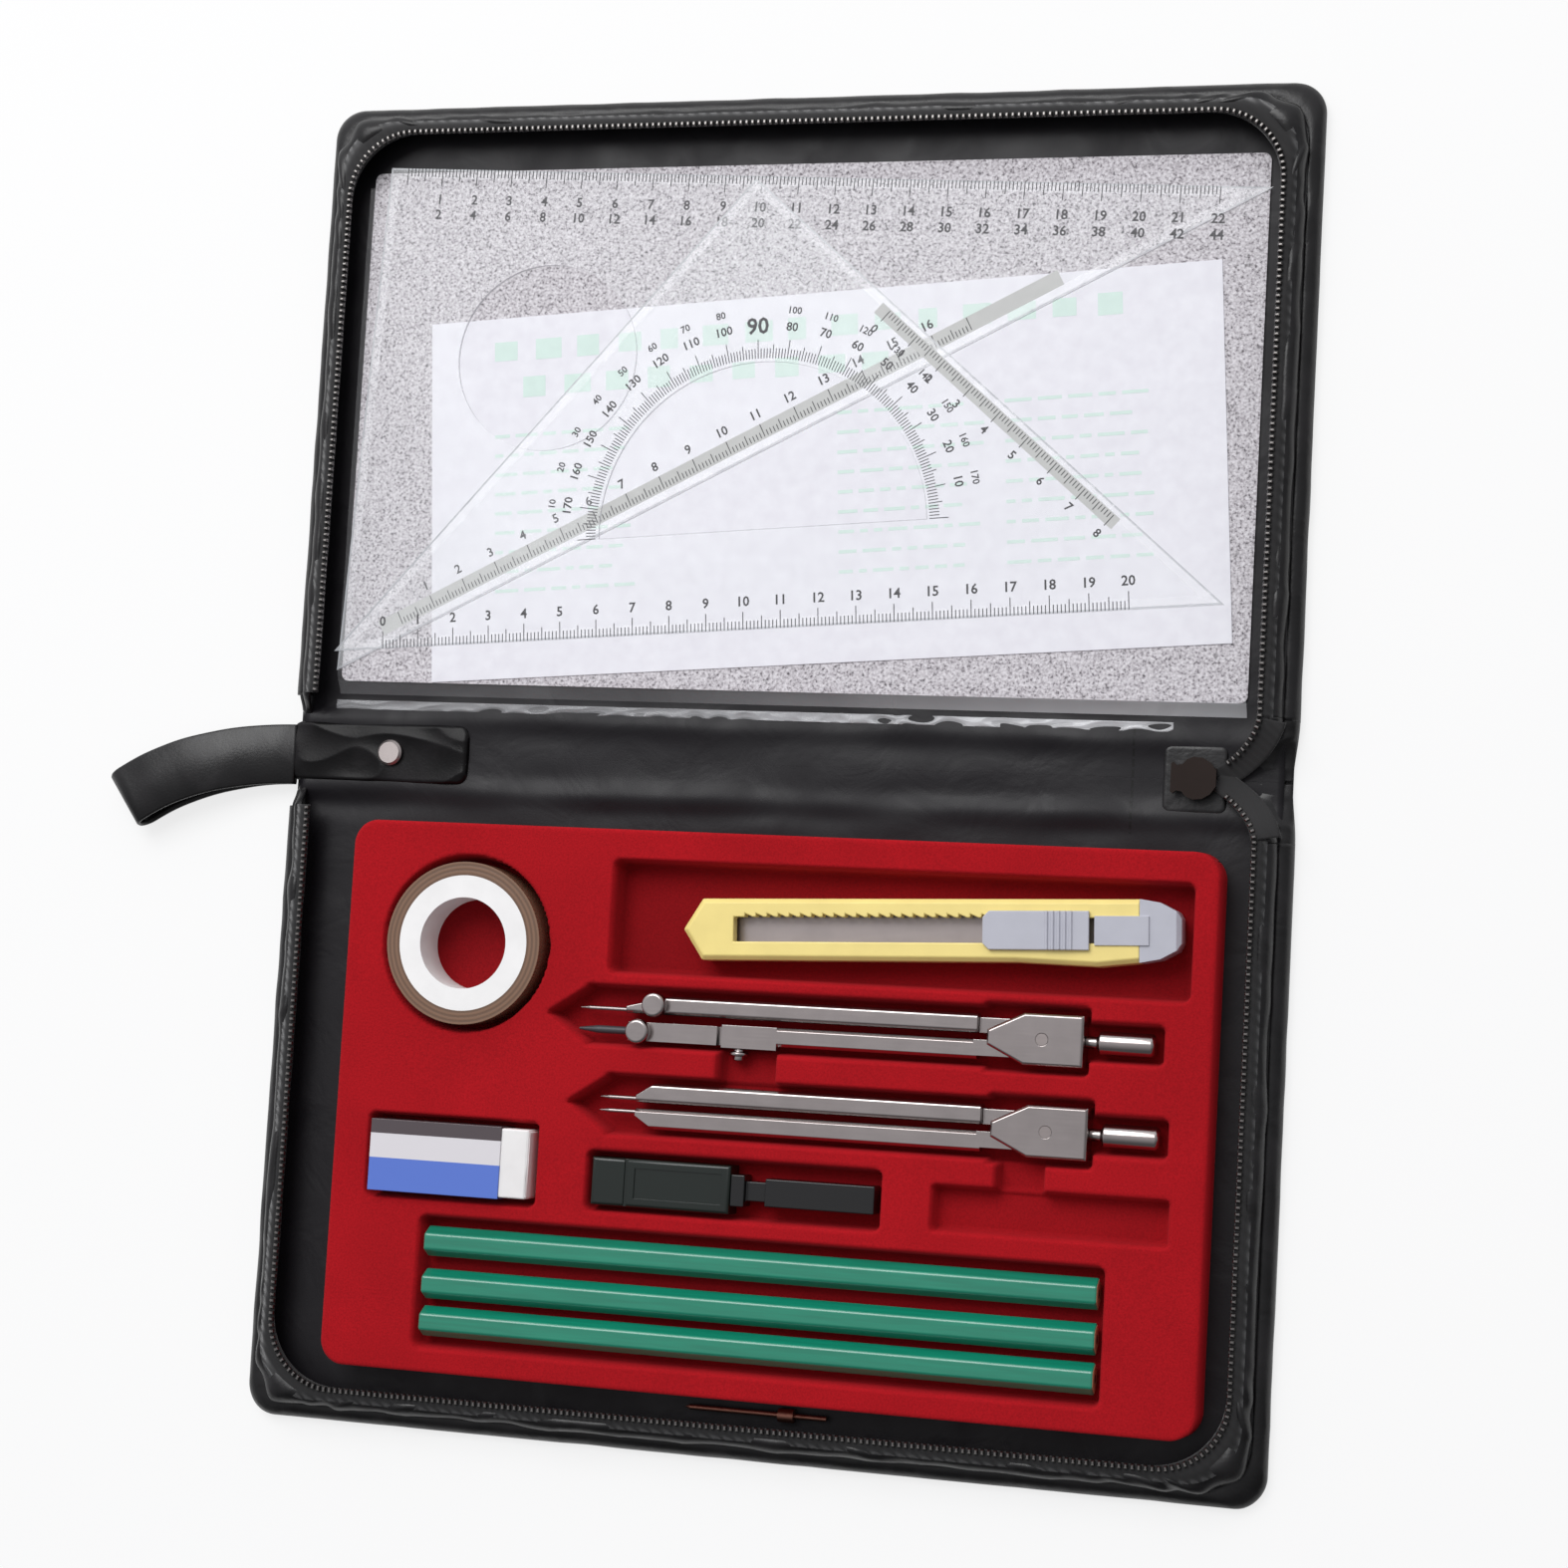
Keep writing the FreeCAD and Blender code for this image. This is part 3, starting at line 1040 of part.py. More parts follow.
# Wallet in the lid: clear film over two set squares, a folded paper and a speckled card
def wallet():
    start = f"{LID_FOLD} + wallet_in"
    card_top = f"{FLOOR} + card_thick"
    plates = f"{card_top} + paper_thick + plate_gap"
    card = body("speckled_card", y=start, z=FLOOR)
    drawn = sketch(card, "card_outline")
    rectangle(drawn, "0", "weld_wide + wallet_deep / 2", "wallet_wide", "wallet_deep - 2 * plate_gap")
    round_edges(card, pad(card, drawn, "card_thick"), "card_round", upright)
    paper = body("folded_paper", "paper_x", f"{start} + paper_y", card_top, "paper_turn")
    drawn = sketch(paper, "paper_outline")
    rectangle(drawn, "0", "0", "paper_wide", "paper_deep")
    pad(paper, drawn, "paper_thick")
    film = body("wallet_film", y=start)
    top = f"{plates} + 2 * (plate_thick + plate_gap)"
    drawn = sketch(film, "film_outline", rise=top)
    rectangle(drawn, "0", "film_deep / 2", "wallet_wide", "film_deep")
    pad(film, drawn, "film_thick")
    weld = sketch(film, "film_weld", rise=FLOOR)
    rectangle(weld, "0", "weld_wide / 2", "wallet_wide", "weld_wide")
    pad(film, weld, f"{top} - {FLOOR}")
    long_square = body("set_square_long", "long_x", f"{LID_FOLD} + long_y", plates, "long_turn")
    drawn = sketch(long_square, "long_square_outline")
    short = "long_leg / sqrt(3)"
    polygon(drawn, [("0", "0"), ("0", f"-{short}"), ("long_leg", "0")])
    inner = f"(long_leg + {short} - 2 * {short}) / 2"
    circle(drawn, inner, f"-{inner}", "hole_radius")
    pad(long_square, drawn, "plate_thick")
    level = f"{plates} + plate_thick + plate_gap"
    equal = body("set_square_equal", "equal_x", f"{LID_FOLD} + equal_y", level, "equal_turn")
    drawn = sketch(equal, "equal_square_outline")
    half = "equal_leg / sqrt(2)"
    polygon(drawn, [(f"-{half}", "0"), (half, "0"), ("0", half)])
    pad(equal, drawn, "plate_thick")
    arc = sketch(equal, "equal_square_window", rise="plate_thick")
    middle = FreeCAD.Vector(0, number("arc_up"), 0)
    radius = number("arc_radius")
    span = FreeCAD.Vector(radius, 0, 0)
    arc.addGeometry(Part.ArcOfCircle(Part.Circle(middle, FreeCAD.Vector(0, 0, 1), radius), 0, math.pi), False)
    arc.addGeometry(Part.LineSegment(middle - span, middle + span), False)
    arc.addConstraint(Sketcher.Constraint("Coincident", 0, 2, 1, 1))
    arc.addConstraint(Sketcher.Constraint("Coincident", 1, 2, 0, 1))
    arc.addConstraint(Sketcher.Constraint("Horizontal", 1))
    held = arc.addConstraint(Sketcher.Constraint("Radius", 0, radius))
    arc.setExpression(f"Constraints[{held}]", bound("arc_radius"))
    pin_point(arc, 0, 3, "0 * arc_up", "arc_up")
    arc.addConstraint(Sketcher.Constraint("PointOnObject", 0, 3, 1))
    pocket(equal, arc, "plate_thick")


wallet()

doc.recompute()
for thing in doc.Objects:
    if "Invalid" in thing.State or "Error" in thing.State:
        raise ValueError(f"{thing.Name} failed: {thing.State}")
os.makedirs("parts", exist_ok=True)
for thing in PARTS:
    if thing.Shape.isNull() or not thing.Shape.isValid():
        raise ValueError(f"{thing.Label} has no valid shape")
    thing.Shape.exportStep(f"parts/{thing.Label}.step")
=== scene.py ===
"""Looks of a zip case of drawing instruments: coated fabric, zip, flocked tray, clear wallet and tools."""

import json
import math

import bmesh
import bpy
import numpy as np
from mathutils import Matrix, Vector


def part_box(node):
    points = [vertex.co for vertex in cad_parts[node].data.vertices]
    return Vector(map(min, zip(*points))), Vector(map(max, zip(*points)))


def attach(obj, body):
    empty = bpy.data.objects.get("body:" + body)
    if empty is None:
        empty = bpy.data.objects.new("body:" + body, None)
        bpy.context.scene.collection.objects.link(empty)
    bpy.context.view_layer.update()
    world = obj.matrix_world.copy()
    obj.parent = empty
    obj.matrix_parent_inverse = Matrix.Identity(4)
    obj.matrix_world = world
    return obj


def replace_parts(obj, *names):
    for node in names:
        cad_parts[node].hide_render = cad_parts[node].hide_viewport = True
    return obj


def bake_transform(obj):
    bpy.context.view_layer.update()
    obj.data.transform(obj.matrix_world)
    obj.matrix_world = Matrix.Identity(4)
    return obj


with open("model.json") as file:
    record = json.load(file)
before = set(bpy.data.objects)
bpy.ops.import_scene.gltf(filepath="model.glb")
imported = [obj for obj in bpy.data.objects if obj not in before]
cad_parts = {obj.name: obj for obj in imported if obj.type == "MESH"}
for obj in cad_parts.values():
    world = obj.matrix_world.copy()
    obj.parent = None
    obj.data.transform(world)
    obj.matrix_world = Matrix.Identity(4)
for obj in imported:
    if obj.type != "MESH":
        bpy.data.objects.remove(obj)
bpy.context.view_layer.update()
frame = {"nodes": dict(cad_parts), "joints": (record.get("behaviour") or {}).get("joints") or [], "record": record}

bl_info = {
    "name": "Drawing instrument case",
    "version": (1, 0, 0),
    "blender": (4, 5, 0),
    "location": "View3D > Sidebar > Drawing case",
    "description": "Dresses the packed drawing instrument case",
    "category": "Object",
}

MM = 0.001
SEED = 7


def span(node):
    """A node's lowest and highest corners at rest, in millimetres."""
    low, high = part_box(node)
    return np.array(low) / MM, np.array(high) / MM


def corners(node):
    """A node's points at rest, in millimetres, one row each."""
    mesh = frame["nodes"][node].data
    points = np.zeros(len(mesh.vertices) * 3)
    mesh.vertices.foreach_get("co", points)
    return points.reshape(-1, 3) / MM


JOINTS = {joint["name"]: joint for joint in frame["joints"]}
TRAY_FOLD = JOINTS["spine_fold"]["pos_m"][1] / MM
LID_FOLD = JOINTS["lid_fold"]["pos_m"][1] / MM
SPINE = (TRAY_FOLD + LID_FOLD) / 2
COVER_LOW, COVER_HIGH = span("tray_cover")
COVER_THICK = COVER_HIGH[2]
HALF_WIDE = COVER_HIGH[0]
FLOOR = span("tray_lining")[1][2]
WALL_END = span("tray_gusset")[1][1]
TRAY_LOW, TRAY_HIGH = span("flocked_tray")
TEETH_FOOT = span("tray_zip_teeth")[0][2]
SEAM_X = span("zip_end_tab")[0][0] - 7.6
SEAM_HALF = 0.28
STITCH = 2.6
LEAD_RADIUS = 1.1


def hex_linear(code):
    """An sRGB hex colour as linear red, green, blue and alpha."""
    value = np.array([int(code[i:i + 2], 16) for i in (1, 3, 5)]) / 255
    linear = np.where(value <= 0.04045, value / 12.92, ((value + 0.055) / 1.055) ** 2.4)
    return (*linear.tolist(), 1.0)


def colour(code, words):
    """A colour setting whose default is that hex value."""
    return bpy.props.FloatVectorProperty(
        name=words, description=f"Colour of the {words}", subtype="COLOR", size=4, min=0, max=1,
        default=hex_linear(code))


def length(default, words):
    """A length setting in millimetres."""
    return bpy.props.FloatProperty(name=words, description=f"{words}, in millimetres", default=default, min=0)


class CaseSettings(bpy.types.PropertyGroup):
    """Sizes and colours of the soft case."""
    coat: colour("#0d0c0d", "coated fabric")
    # Lighter colour of the crease ridges: rubbed wear and a painted highlight
    coat_worn: colour("#1a181a", "coated fabric where it is rubbed")
    lining: colour("#121014", "lining")
    tape: colour("#121112", "zip tape")
    tooth: colour("#7c7977", "zip teeth")
    bronze: colour("#2b2523", "zip slider")
    wrinkle: length(0.5, "Depth of the wrinkles in the walls")
    gather: length(0.5, "Depth of the gathers at the corners")
    outer_round: length(8.0, "Outer corner radius")
    tooth_pitch: length(1.6, "Spacing of the zip teeth")
    strap_width: length(16.0, "Width of the hand strap")


class TraySettings(bpy.types.PropertyGroup):
    """Sizes and colours of the flocked tray."""
    flock: colour("#b0141d", "flock")
    flock_deep: colour("#980f18", "flock between the fibres")
    grid_step: length(0.62, "Spacing of the surface points")
    draft: length(1.3, "Width of the sloping recess walls")
    lip: length(1.4, "Radius of the upper edge")


class ToolSettings(bpy.types.PropertyGroup):
    """Colours of the tools and of the wallet."""
    nickel: colour("#aaa2a0", "nickel plate")
    steel: colour("#a09795", "plain steel")
    copper: colour("#8a5f52", "needle bar")
    graphite: colour("#3a3a3e", "graphite")
    core: colour("#f2f1f0", "tape core")
    tape: colour("#6f5442", "wound tape")
    yellow: colour("#f5e08c", "cutter body")
    grey: colour("#b9bac4", "cutter cap and slider")
    vinyl: colour("#efedec", "eraser")
    band_dark: colour("#4b4145", "dark band of the sleeve")
    band_blue: colour("#5474cc", "blue band of the sleeve")
    band_white: colour("#dad7db", "white band of the sleeve")
    box_green: colour("#0f1914", "lead box")
    box_black: colour("#0f0f10", "lead box cap")
    lacquer: colour("#12876b", "pencil lacquer")
    wood: colour("#c9a27a", "pencil wood")
    card: colour("#b3aeb3", "speckled card")
    speck: colour("#4b464b", "specks in the card")
    paper: colour("#e8e8ee", "paper")
    print_green: colour("#cbe0d8", "ruled print on the paper")
    acrylic: colour("#e9eef0", "clear acrylic")
    ink: colour("#2f2d31", "scale marks")
    band_grey: colour("#b9bab8", "grey strip of the scales")


class StageSettings(bpy.types.PropertyGroup):
    """Camera, floor and lamps."""
    floor: colour("#fbfbfb", "floor")
    lens: bpy.props.FloatProperty(
        name="Lens", description="Focal length of the camera", default=68.6, unit="CAMERA")
    roll: bpy.props.FloatProperty(
        name="Roll", description="Turn of the camera about its view", subtype="ANGLE",
        default=math.radians(3.28))
    key: bpy.props.FloatProperty(name="Key", description="Power of the main lamp", default=13.0, unit="POWER")
    fill: bpy.props.FloatProperty(name="Fill", description="Strength of the room light", default=0.95, min=0)


# Materials

def tint(name):
    """A colour of the tools' settings."""
    return tuple(getattr(bpy.context.scene.tool_settings_case, name))


def shade(paint, share):
    """A colour made darker or lighter by a share."""
    return tuple(min(1.0, value * share) for value in paint[:3]) + (1.0,)


def grey(value):
    """A plain value as a colour."""
    return (value, value, value, 1.0)


def per_metre(millimetres):
    """The scale of a pattern whose features are that far apart."""
    return 1 / (millimetres * MM)


def add(tree, kind, inputs=None, out=0, stops=(), **settings):
    """A node with its settings, ramp stops, values and links, given as one of its outputs."""
    made = tree.nodes.new("ShaderNode" + kind)
    for name, value in settings.items():
        setattr(made, name, value)
    for name, value in (inputs or {}).items():
        join(tree, made.inputs[name], value)
    for _ in stops[2:]:
        made.color_ramp.elements.new(0.5)
    for place, (at, paint) in enumerate(stops):
        made.color_ramp.elements[place].position = at
        made.color_ramp.elements[place].color = paint
    return made.outputs[out]


def join(tree, socket, value):
    """Link an output to a socket, or set a plain value on it."""
    if isinstance(value, bpy.types.NodeSocket):
        tree.links.new(value, socket)
    else:
        socket.default_value = value


def material(name):
    """A new material, its node tree and its object coordinates."""
    made = bpy.data.materials.new(name)
    made.use_nodes = True
    return made, made.node_tree, add(made.node_tree, "TexCoord", out="Object")


def coat(made, **values):
    """Set or link the sockets of a material's shader."""
    sockets = made.node_tree.nodes["Principled BSDF"].inputs
    for name, value in values.items():
        join(made.node_tree, sockets[name.replace("_", " ")], value)
    return made


def blotches(place, size, detail=3.0, rough=0.55, twist=0.0):
    """Values of a noise whose blotches are about that many millimetres across."""
    return {"Vector": place, "Scale": per_metre(size), "Detail": detail, "Roughness": rough,
            "Distortion": twist}


def dent(height, depth, strength, under=None):
    """Values of a bump of that depth in millimetres, over another one if there is one."""
    values = {"Height": height, "Distance": depth * MM, "Strength": strength}
    if under is not None:
        values["Normal"] = under
    return values


def coated_fabric(name, slack=0.7, gloss=0.38):
    """Polyurethane coated cloth: a black glossy skin with a fine grain, soft creases, and crease ridges lighter
    from rubbed wear and from a painted highlight.
    """
    case = bpy.context.scene.case_settings
    made, tree, place = material(name)
    grain = add(tree, "TexNoise", blotches(place, 0.7, 2.0))
    crease = add(tree, "TexNoise", blotches(place, 11.0, 3.0, 0.5, 0.6))
    # Lighter on the crease ridges: partly rubbed wear, partly a painted highlight on the folds
    rubbed_and_lit = add(tree, "ValToRGB", {"Fac": crease}, stops=[(0.45, case.coat), (0.78, case.coat_worn)])
    rough = add(tree, "ValToRGB", {"Fac": crease}, stops=[(0.3, grey(0.28)), (0.75, grey(0.46))])
    fine = add(tree, "Bump", dent(grain, 0.06, 0.6))
    folds = add(tree, "Bump", dent(crease, slack, 0.55, fine))
    return coat(made, Base_Color=rubbed_and_lit, Roughness=rough, Specular_IOR_Level=gloss, Normal=folds)


def lining_cloth(name):
    """Soft black lining sheet: smooth, half matt, with long slack folds and a seam sewn across the spine."""
    made, tree, place = material(name)
    x = add(tree, "SeparateXYZ", {"Vector": place}, "X")
    y = add(tree, "SeparateXYZ", {"Vector": place}, "Y")
    row = add(tree, "Math", {0: x, 1: SEAM_X * MM, 2: SEAM_HALF * MM}, operation="COMPARE")
    spine = add(tree, "Math", {0: y, 1: SPINE * MM, 2: (LID_FOLD - SPINE + 3) * MM}, operation="COMPARE")
    seam = add(tree, "Math", {0: row, 1: spine}, operation="MULTIPLY")
    count = add(tree, "Math", {0: y, 1: per_metre(STITCH)}, operation="MULTIPLY")
    part = add(tree, "Math", {0: count}, operation="FRACT")
    thread = add(tree, "Math", {0: part, 1: 0.72}, operation="LESS_THAN")
    sewn = add(tree, "Math", {0: seam, 1: thread}, operation="MULTIPLY")
    cloth = tuple(bpy.context.scene.case_settings.lining)
    tone = add(tree, "ValToRGB", {"Fac": sewn}, stops=[(0.0, cloth), (1.0, hex_linear("#020202"))])
    slack = add(tree, "TexNoise", blotches(place, 16.0, 3.0, 0.5, 0.8))
    rough = add(tree, "ValToRGB", {"Fac": slack}, stops=[(0.3, grey(0.4)), (0.7, grey(0.56))])
    grain = add(tree, "TexNoise", blotches(place, 0.5, 2.0))
    groove = add(tree, "Math", {0: 1.0, 1: seam}, operation="SUBTRACT")
    fine = add(tree, "Bump", dent(grain, 0.04, 0.5))
    fine = add(tree, "Bump", dent(groove, 0.4, 0.8, fine))
    folds = add(tree, "Bump", dent(slack, 0.8, 0.5, fine))
    return coat(made, Base_Color=tone, Roughness=rough, Specular_IOR_Level=0.28, Normal=folds)


def woven_tape(name):
    """Woven polyester tape: dull black with ribs drawn 0.8 mm apart so that they show."""
    made, tree, place = material(name)
    values = {"Vector": place, "Scale": per_metre(0.8) / 6.3, "Distortion": 1.0}
    rib = add(tree, "TexWave", values, "Fac", bands_direction="DIAGONAL")
    weave = add(tree, "Bump", dent(rib, 0.15, 0.7))
    black = bpy.context.scene.case_settings.tape
    return coat(made, Base_Color=black, Roughness=0.8, Sheen_Weight=0.25, Normal=weave)


def plated(name, paint, rough):
    """Plated metal: bright, a little uneven, with fine draw marks along X."""
    made, tree, place = material(name)
    drawn = add(tree, "Mapping", {"Vector": place, "Scale": (0.04, 1.0, 1.0)})
    marks = add(tree, "TexNoise", blotches(drawn, 0.35))
    stain = add(tree, "TexNoise", blotches(place, 9.0, 4.0))
    tone = add(tree, "ValToRGB", {"Fac": stain}, stops=[(0.3, shade(paint, 0.9)), (0.65, paint)])
    polish = [(0.3, grey(max(rough - 0.04, 0.05))), (0.7, grey(rough + 0.05))]
    gloss = add(tree, "ValToRGB", {"Fac": marks}, stops=polish)
    scratch = add(tree, "Bump", dent(marks, 0.01, 0.2))
    return coat(made, Metallic=1.0, Base_Color=tone, Roughness=gloss, Normal=scratch)


def moulded(name, paint, rough, grain=0.03):
    """Moulded plastic: even colour with faint flow marks and a fine spark-eroded grain."""
    made, tree, place = material(name)
    flow = add(tree, "TexNoise", blotches(place, 12.0))
    tone = add(tree, "ValToRGB", {"Fac": flow}, stops=[(0.3, shade(paint, 0.9)), (0.7, paint)])
    spark = add(tree, "Bump", dent(add(tree, "TexNoise", blotches(place, 0.6, 2.0)), grain, 0.5))
    return coat(made, Base_Color=tone, Roughness=rough, Normal=spark)


def flock(name):
    """Flocked vacuum-formed tray: short upright fibres that drink the light, with painted shade that darkens it
    towards the recess floors.
    """
    tray = bpy.context.scene.tray_settings
    made, tree, place = material(name)
    pile = add(tree, "TexNoise", blotches(place, 0.5, 3.0, 0.7))
    nap = add(tree, "TexNoise", blotches(place, 26.0, 3.0, 0.5, 0.6))
    fibre = add(tree, "ValToRGB", {"Fac": pile}, stops=[(0.3, tray.flock_deep), (0.62, tray.flock)])
    brushed = add(tree, "ValToRGB", {"Fac": nap}, stops=[(0.35, grey(0.86)), (0.7, grey(1.0))])
    # Painted shade: darker towards the recess floors, down to 0.58 at the deepest
    level = add(tree, "SeparateXYZ", {"Vector": place}, "Z")
    values = {"Value": level, "From Min": TRAY_LOW[2] * MM, "From Max": TRAY_HIGH[2] * MM}
    rise = add(tree, "MapRange", values)
    thin = add(tree, "ValToRGB", {"Fac": rise}, stops=[(0.2, grey(0.58)), (0.9, grey(1.0))])
    tone = fibre
    for cast, share in ((brushed, 0.8), (thin, 1.0)):
        values = {"A": tone, "B": cast, "Factor": share}
        tone = add(tree, "Mix", values, 2, data_type="RGBA", blend_type="MULTIPLY")
    fur = add(tree, "Bump", dent(pile, 0.12, 0.5))
    return coat(made, Base_Color=tone, Roughness=0.95, Specular_IOR_Level=0.15, Sheen_Weight=0.35,
                Sheen_Roughness=0.45, Sheen_Tint=hex_linear("#e0404a"), Normal=fur)


def speckled(name):
    """Grey wrapping card: a pale ground with dark and light fibres a millimetre across."""
    made, tree, place = material(name)
    dark = add(tree, "TexNoise", blotches(place, 0.75, 2.0, 0.7))
    big = add(tree, "TexNoise", blotches(place, 1.9, 2.0, 0.6))
    fibres = [(0.3, tint("speck")), (0.44, tint("card")), (0.66, hex_linear("#dcd9dd"))]
    spots = add(tree, "ValToRGB", {"Fac": dark}, stops=fibres)
    blots = add(tree, "ValToRGB", {"Fac": big}, stops=[(0.27, grey(0.35)), (0.33, grey(1.0))])
    values = {"A": spots, "B": blots, "Factor": 0.7}
    tone = add(tree, "Mix", values, 2, data_type="RGBA", blend_type="MULTIPLY")
    fluff = add(tree, "Bump", dent(dark, 0.05, 0.4))
    return coat(made, Base_Color=tone, Roughness=0.85, Normal=fluff)


def paper_sheet(name):
    """Thin white paper: faint fibres and a slight wave."""
    made, tree, place = material(name)
    fibre = add(tree, "TexNoise", blotches(place, 4.0, 4.0))
    tone = add(tree, "ValToRGB", {"Fac": fibre}, stops=[(0.3, hex_linear("#e0dfe6")), (0.7, tint("paper"))])
    wave = add(tree, "Bump", dent(add(tree, "TexNoise", blotches(place, 30.0, 2.0)), 1.0, 0.25))
    return coat(made, Base_Color=tone, Roughness=0.75, Normal=wave)


def clear_plastic(name, node, face, edge):
    """Clear sheet: nearly unseen on its two faces; its cut edges are painted pale and bright, a painted highlight.
    """
    low, high = span(node)
    made, tree, place = material(name)
    middle, half = (low[2] + high[2]) / 2 * MM, (high[2] - low[2]) / 2 * MM
    level = add(tree, "SeparateXYZ", {"Vector": place}, "Z")
    away = add(tree, "Math", {0: level, 1: middle}, operation="SUBTRACT")
    away = add(tree, "Math", {0: away}, operation="ABSOLUTE")
    flat = add(tree, "Math", {0: away, 1: half * 0.97}, operation="GREATER_THAN")
    # Painted highlight: the cut edges are drawn opaque and pale instead of clear
    alpha = add(tree, "ValToRGB", {"Fac": flat}, stops=[(0.0, grey(edge)), (1.0, grey(face))])
    tone = add(tree, "ValToRGB", {"Fac": flat}, stops=[(0.0, hex_linear("#a3a6ab")), (1.0, tint("acrylic"))])
    wave = add(tree, "Bump", dent(add(tree, "TexNoise", blotches(place, 14.0, 2.0)), 0.2, 0.2))
    return coat(made, Base_Color=tone, Roughness=0.08, IOR=1.49, Alpha=alpha, Normal=wave)


def clear_film(name, alpha=0.05, paint="#f4f5f8", hem=None):
    """Soft clear film: slack, with long glints, and past its hem line a painted glare that turns it whiter towards
    the right.
    """
    made, tree, place = material(name)
    clear = alpha
    if hem is not None:
        x = add(tree, "SeparateXYZ", {"Vector": place}, "X")
        y = add(tree, "SeparateXYZ", {"Vector": place}, "Y")
        # Painted glare: past the hem the film turns whiter, more so towards the right
        below = add(tree, "MapRange", {"Value": y, "From Min": hem * MM, "From Max": (hem - 0.8) * MM})
        values = {"Value": x, "From Min": -30 * MM, "From Max": 80 * MM, "To Min": 0.12}
        painted_glare = add(tree, "Math", {0: below, 1: add(tree, "MapRange", values)}, operation="MULTIPLY")
        clear = add(tree, "ValToRGB", {"Fac": painted_glare}, stops=[(0.0, grey(alpha)), (1.0, grey(0.42))])
    slack = add(tree, "TexNoise", blotches(place, 22.0, 3.0, 0.55, 1.5))
    folds = add(tree, "Bump", dent(slack, 1.4, 0.5))
    return coat(made, Base_Color=hex_linear(paint), Roughness=0.14, Alpha=clear, Normal=folds)


def wound_tape(name):
    """Adhesive tape in a roll: brown from its many clear layers, with fine rings on its sides."""
    low, high = span("tape_winding")
    middle = (low + high) / 2 * MM
    made, tree, place = material(name)
    centred = add(tree, "Mapping", {"Vector": place, "Location": (-middle[0], -middle[1], 0)})
    values = {"Vector": centred, "Scale": per_metre(0.6) / 6.3, "Distortion": 0.4}
    rings = add(tree, "TexWave", values, "Fac", wave_type="RINGS", rings_direction="Z")
    layers = [(0.2, tint("tape")), (0.8, shade(tint("tape"), 1.5))]
    tone = add(tree, "ValToRGB", {"Fac": rings}, stops=layers)
    ridges = add(tree, "Bump", dent(rings, 0.05, 0.4))
    return coat(made, Base_Color=tone, Roughness=0.22, Coat_Weight=0.3, Alpha=0.88, Normal=ridges)


def printed_sleeve(name):
    """Printed card sleeve: a wide blue field, a pale band and a dark edge, glossy from its varnish."""
    low, high = span("eraser_sleeve")
    made, tree, place = material(name)
    across = add(tree, "SeparateXYZ", {"Vector": place}, "Y")
    share = add(tree, "MapRange", {"Value": across, "From Min": low[1] * MM, "From Max": high[1] * MM})
    bands = [(0.0, tint("band_blue")), (0.46, tint("band_white")), (0.8, tint("band_dark"))]
    tone = add(tree, "ValToRGB", {"Fac": share}, stops=bands)
    tone.node.color_ramp.interpolation = "CONSTANT"
    wave = add(tree, "Bump", dent(add(tree, "TexNoise", blotches(place, 5.0)), 0.08, 0.4))
    return coat(made, Base_Color=tone, Roughness=0.35, Coat_Weight=0.25, Normal=wave)


def lacquered_pencil(name, node):
    """Lacquered pencil: thick glossy coats, and cut ends of bare wood round a dark lead."""
    low, high = span(node)
    half = (high[0] - low[0]) / 2
    made, tree, place = material(name)
    centred = add(tree, "Mapping", {"Vector": place, "Location": (-(low + high) / 2 * MM).tolist()})
    away = add(tree, "Math", {0: add(tree, "SeparateXYZ", {"Vector": centred}, "X")}, operation="ABSOLUTE")
    cut = add(tree, "Math", {0: away, 1: (half - 0.12) * MM}, operation="GREATER_THAN")
    upright = add(tree, "Mapping", {"Vector": centred, "Scale": (0.0, 1.0, 1.0)})
    radius = add(tree, "VectorMath", {0: upright}, "Value", operation="LENGTH")
    values = {"Value": radius, "From Min": LEAD_RADIUS * MM, "From Max": (LEAD_RADIUS + 0.1) * MM}
    outside = add(tree, "MapRange", values)
    bare = add(tree, "ValToRGB", {"Fac": outside}, stops=[(0.0, tint("graphite")), (1.0, tint("wood"))])
    drawn = add(tree, "Mapping", {"Vector": place, "Scale": (0.06, 1.0, 1.0)})
    grain = add(tree, "TexNoise", blotches(drawn, 1.2))
    coats = [(0.3, shade(tint("lacquer"), 0.8)), (0.7, tint("lacquer"))]
    values = {"Factor": cut, "A": add(tree, "ValToRGB", {"Fac": grain}, stops=coats), "B": bare}
    tone = add(tree, "Mix", values, 2, data_type="RGBA")
    ridges = add(tree, "Bump", dent(grain, 0.05, 0.3))
    return coat(made, Base_Color=tone, Roughness=0.3, Coat_Weight=0.7, Coat_Roughness=0.06, Normal=ridges)


def plain_ink(name, paint):
    """Printing ink: flat colour with a slightly patchy film."""
    made, tree, place = material(name)
    patch = add(tree, "TexNoise", blotches(place, 3.0))
    tone = add(tree, "ValToRGB", {"Fac": patch}, stops=[(0.4, paint), (0.7, shade(paint, 1.05))])
    return coat(made, Base_Color=tone, Roughness=0.6)


# Meshes

def grid_faces(rows, columns, closed=False):
    """Four-sided faces of a grid of points, with its last column joined to its first if it is closed."""
    last_column = columns if closed else columns - 1
    i, j = np.meshgrid(np.arange(rows - 1) * columns, np.arange(last_column), indexing="ij")
    beside = (j + 1) % columns
    square = [i + j, i + columns + j, i + columns + beside, i + beside]
    return np.stack(square, axis=-1).reshape(-1, 4)


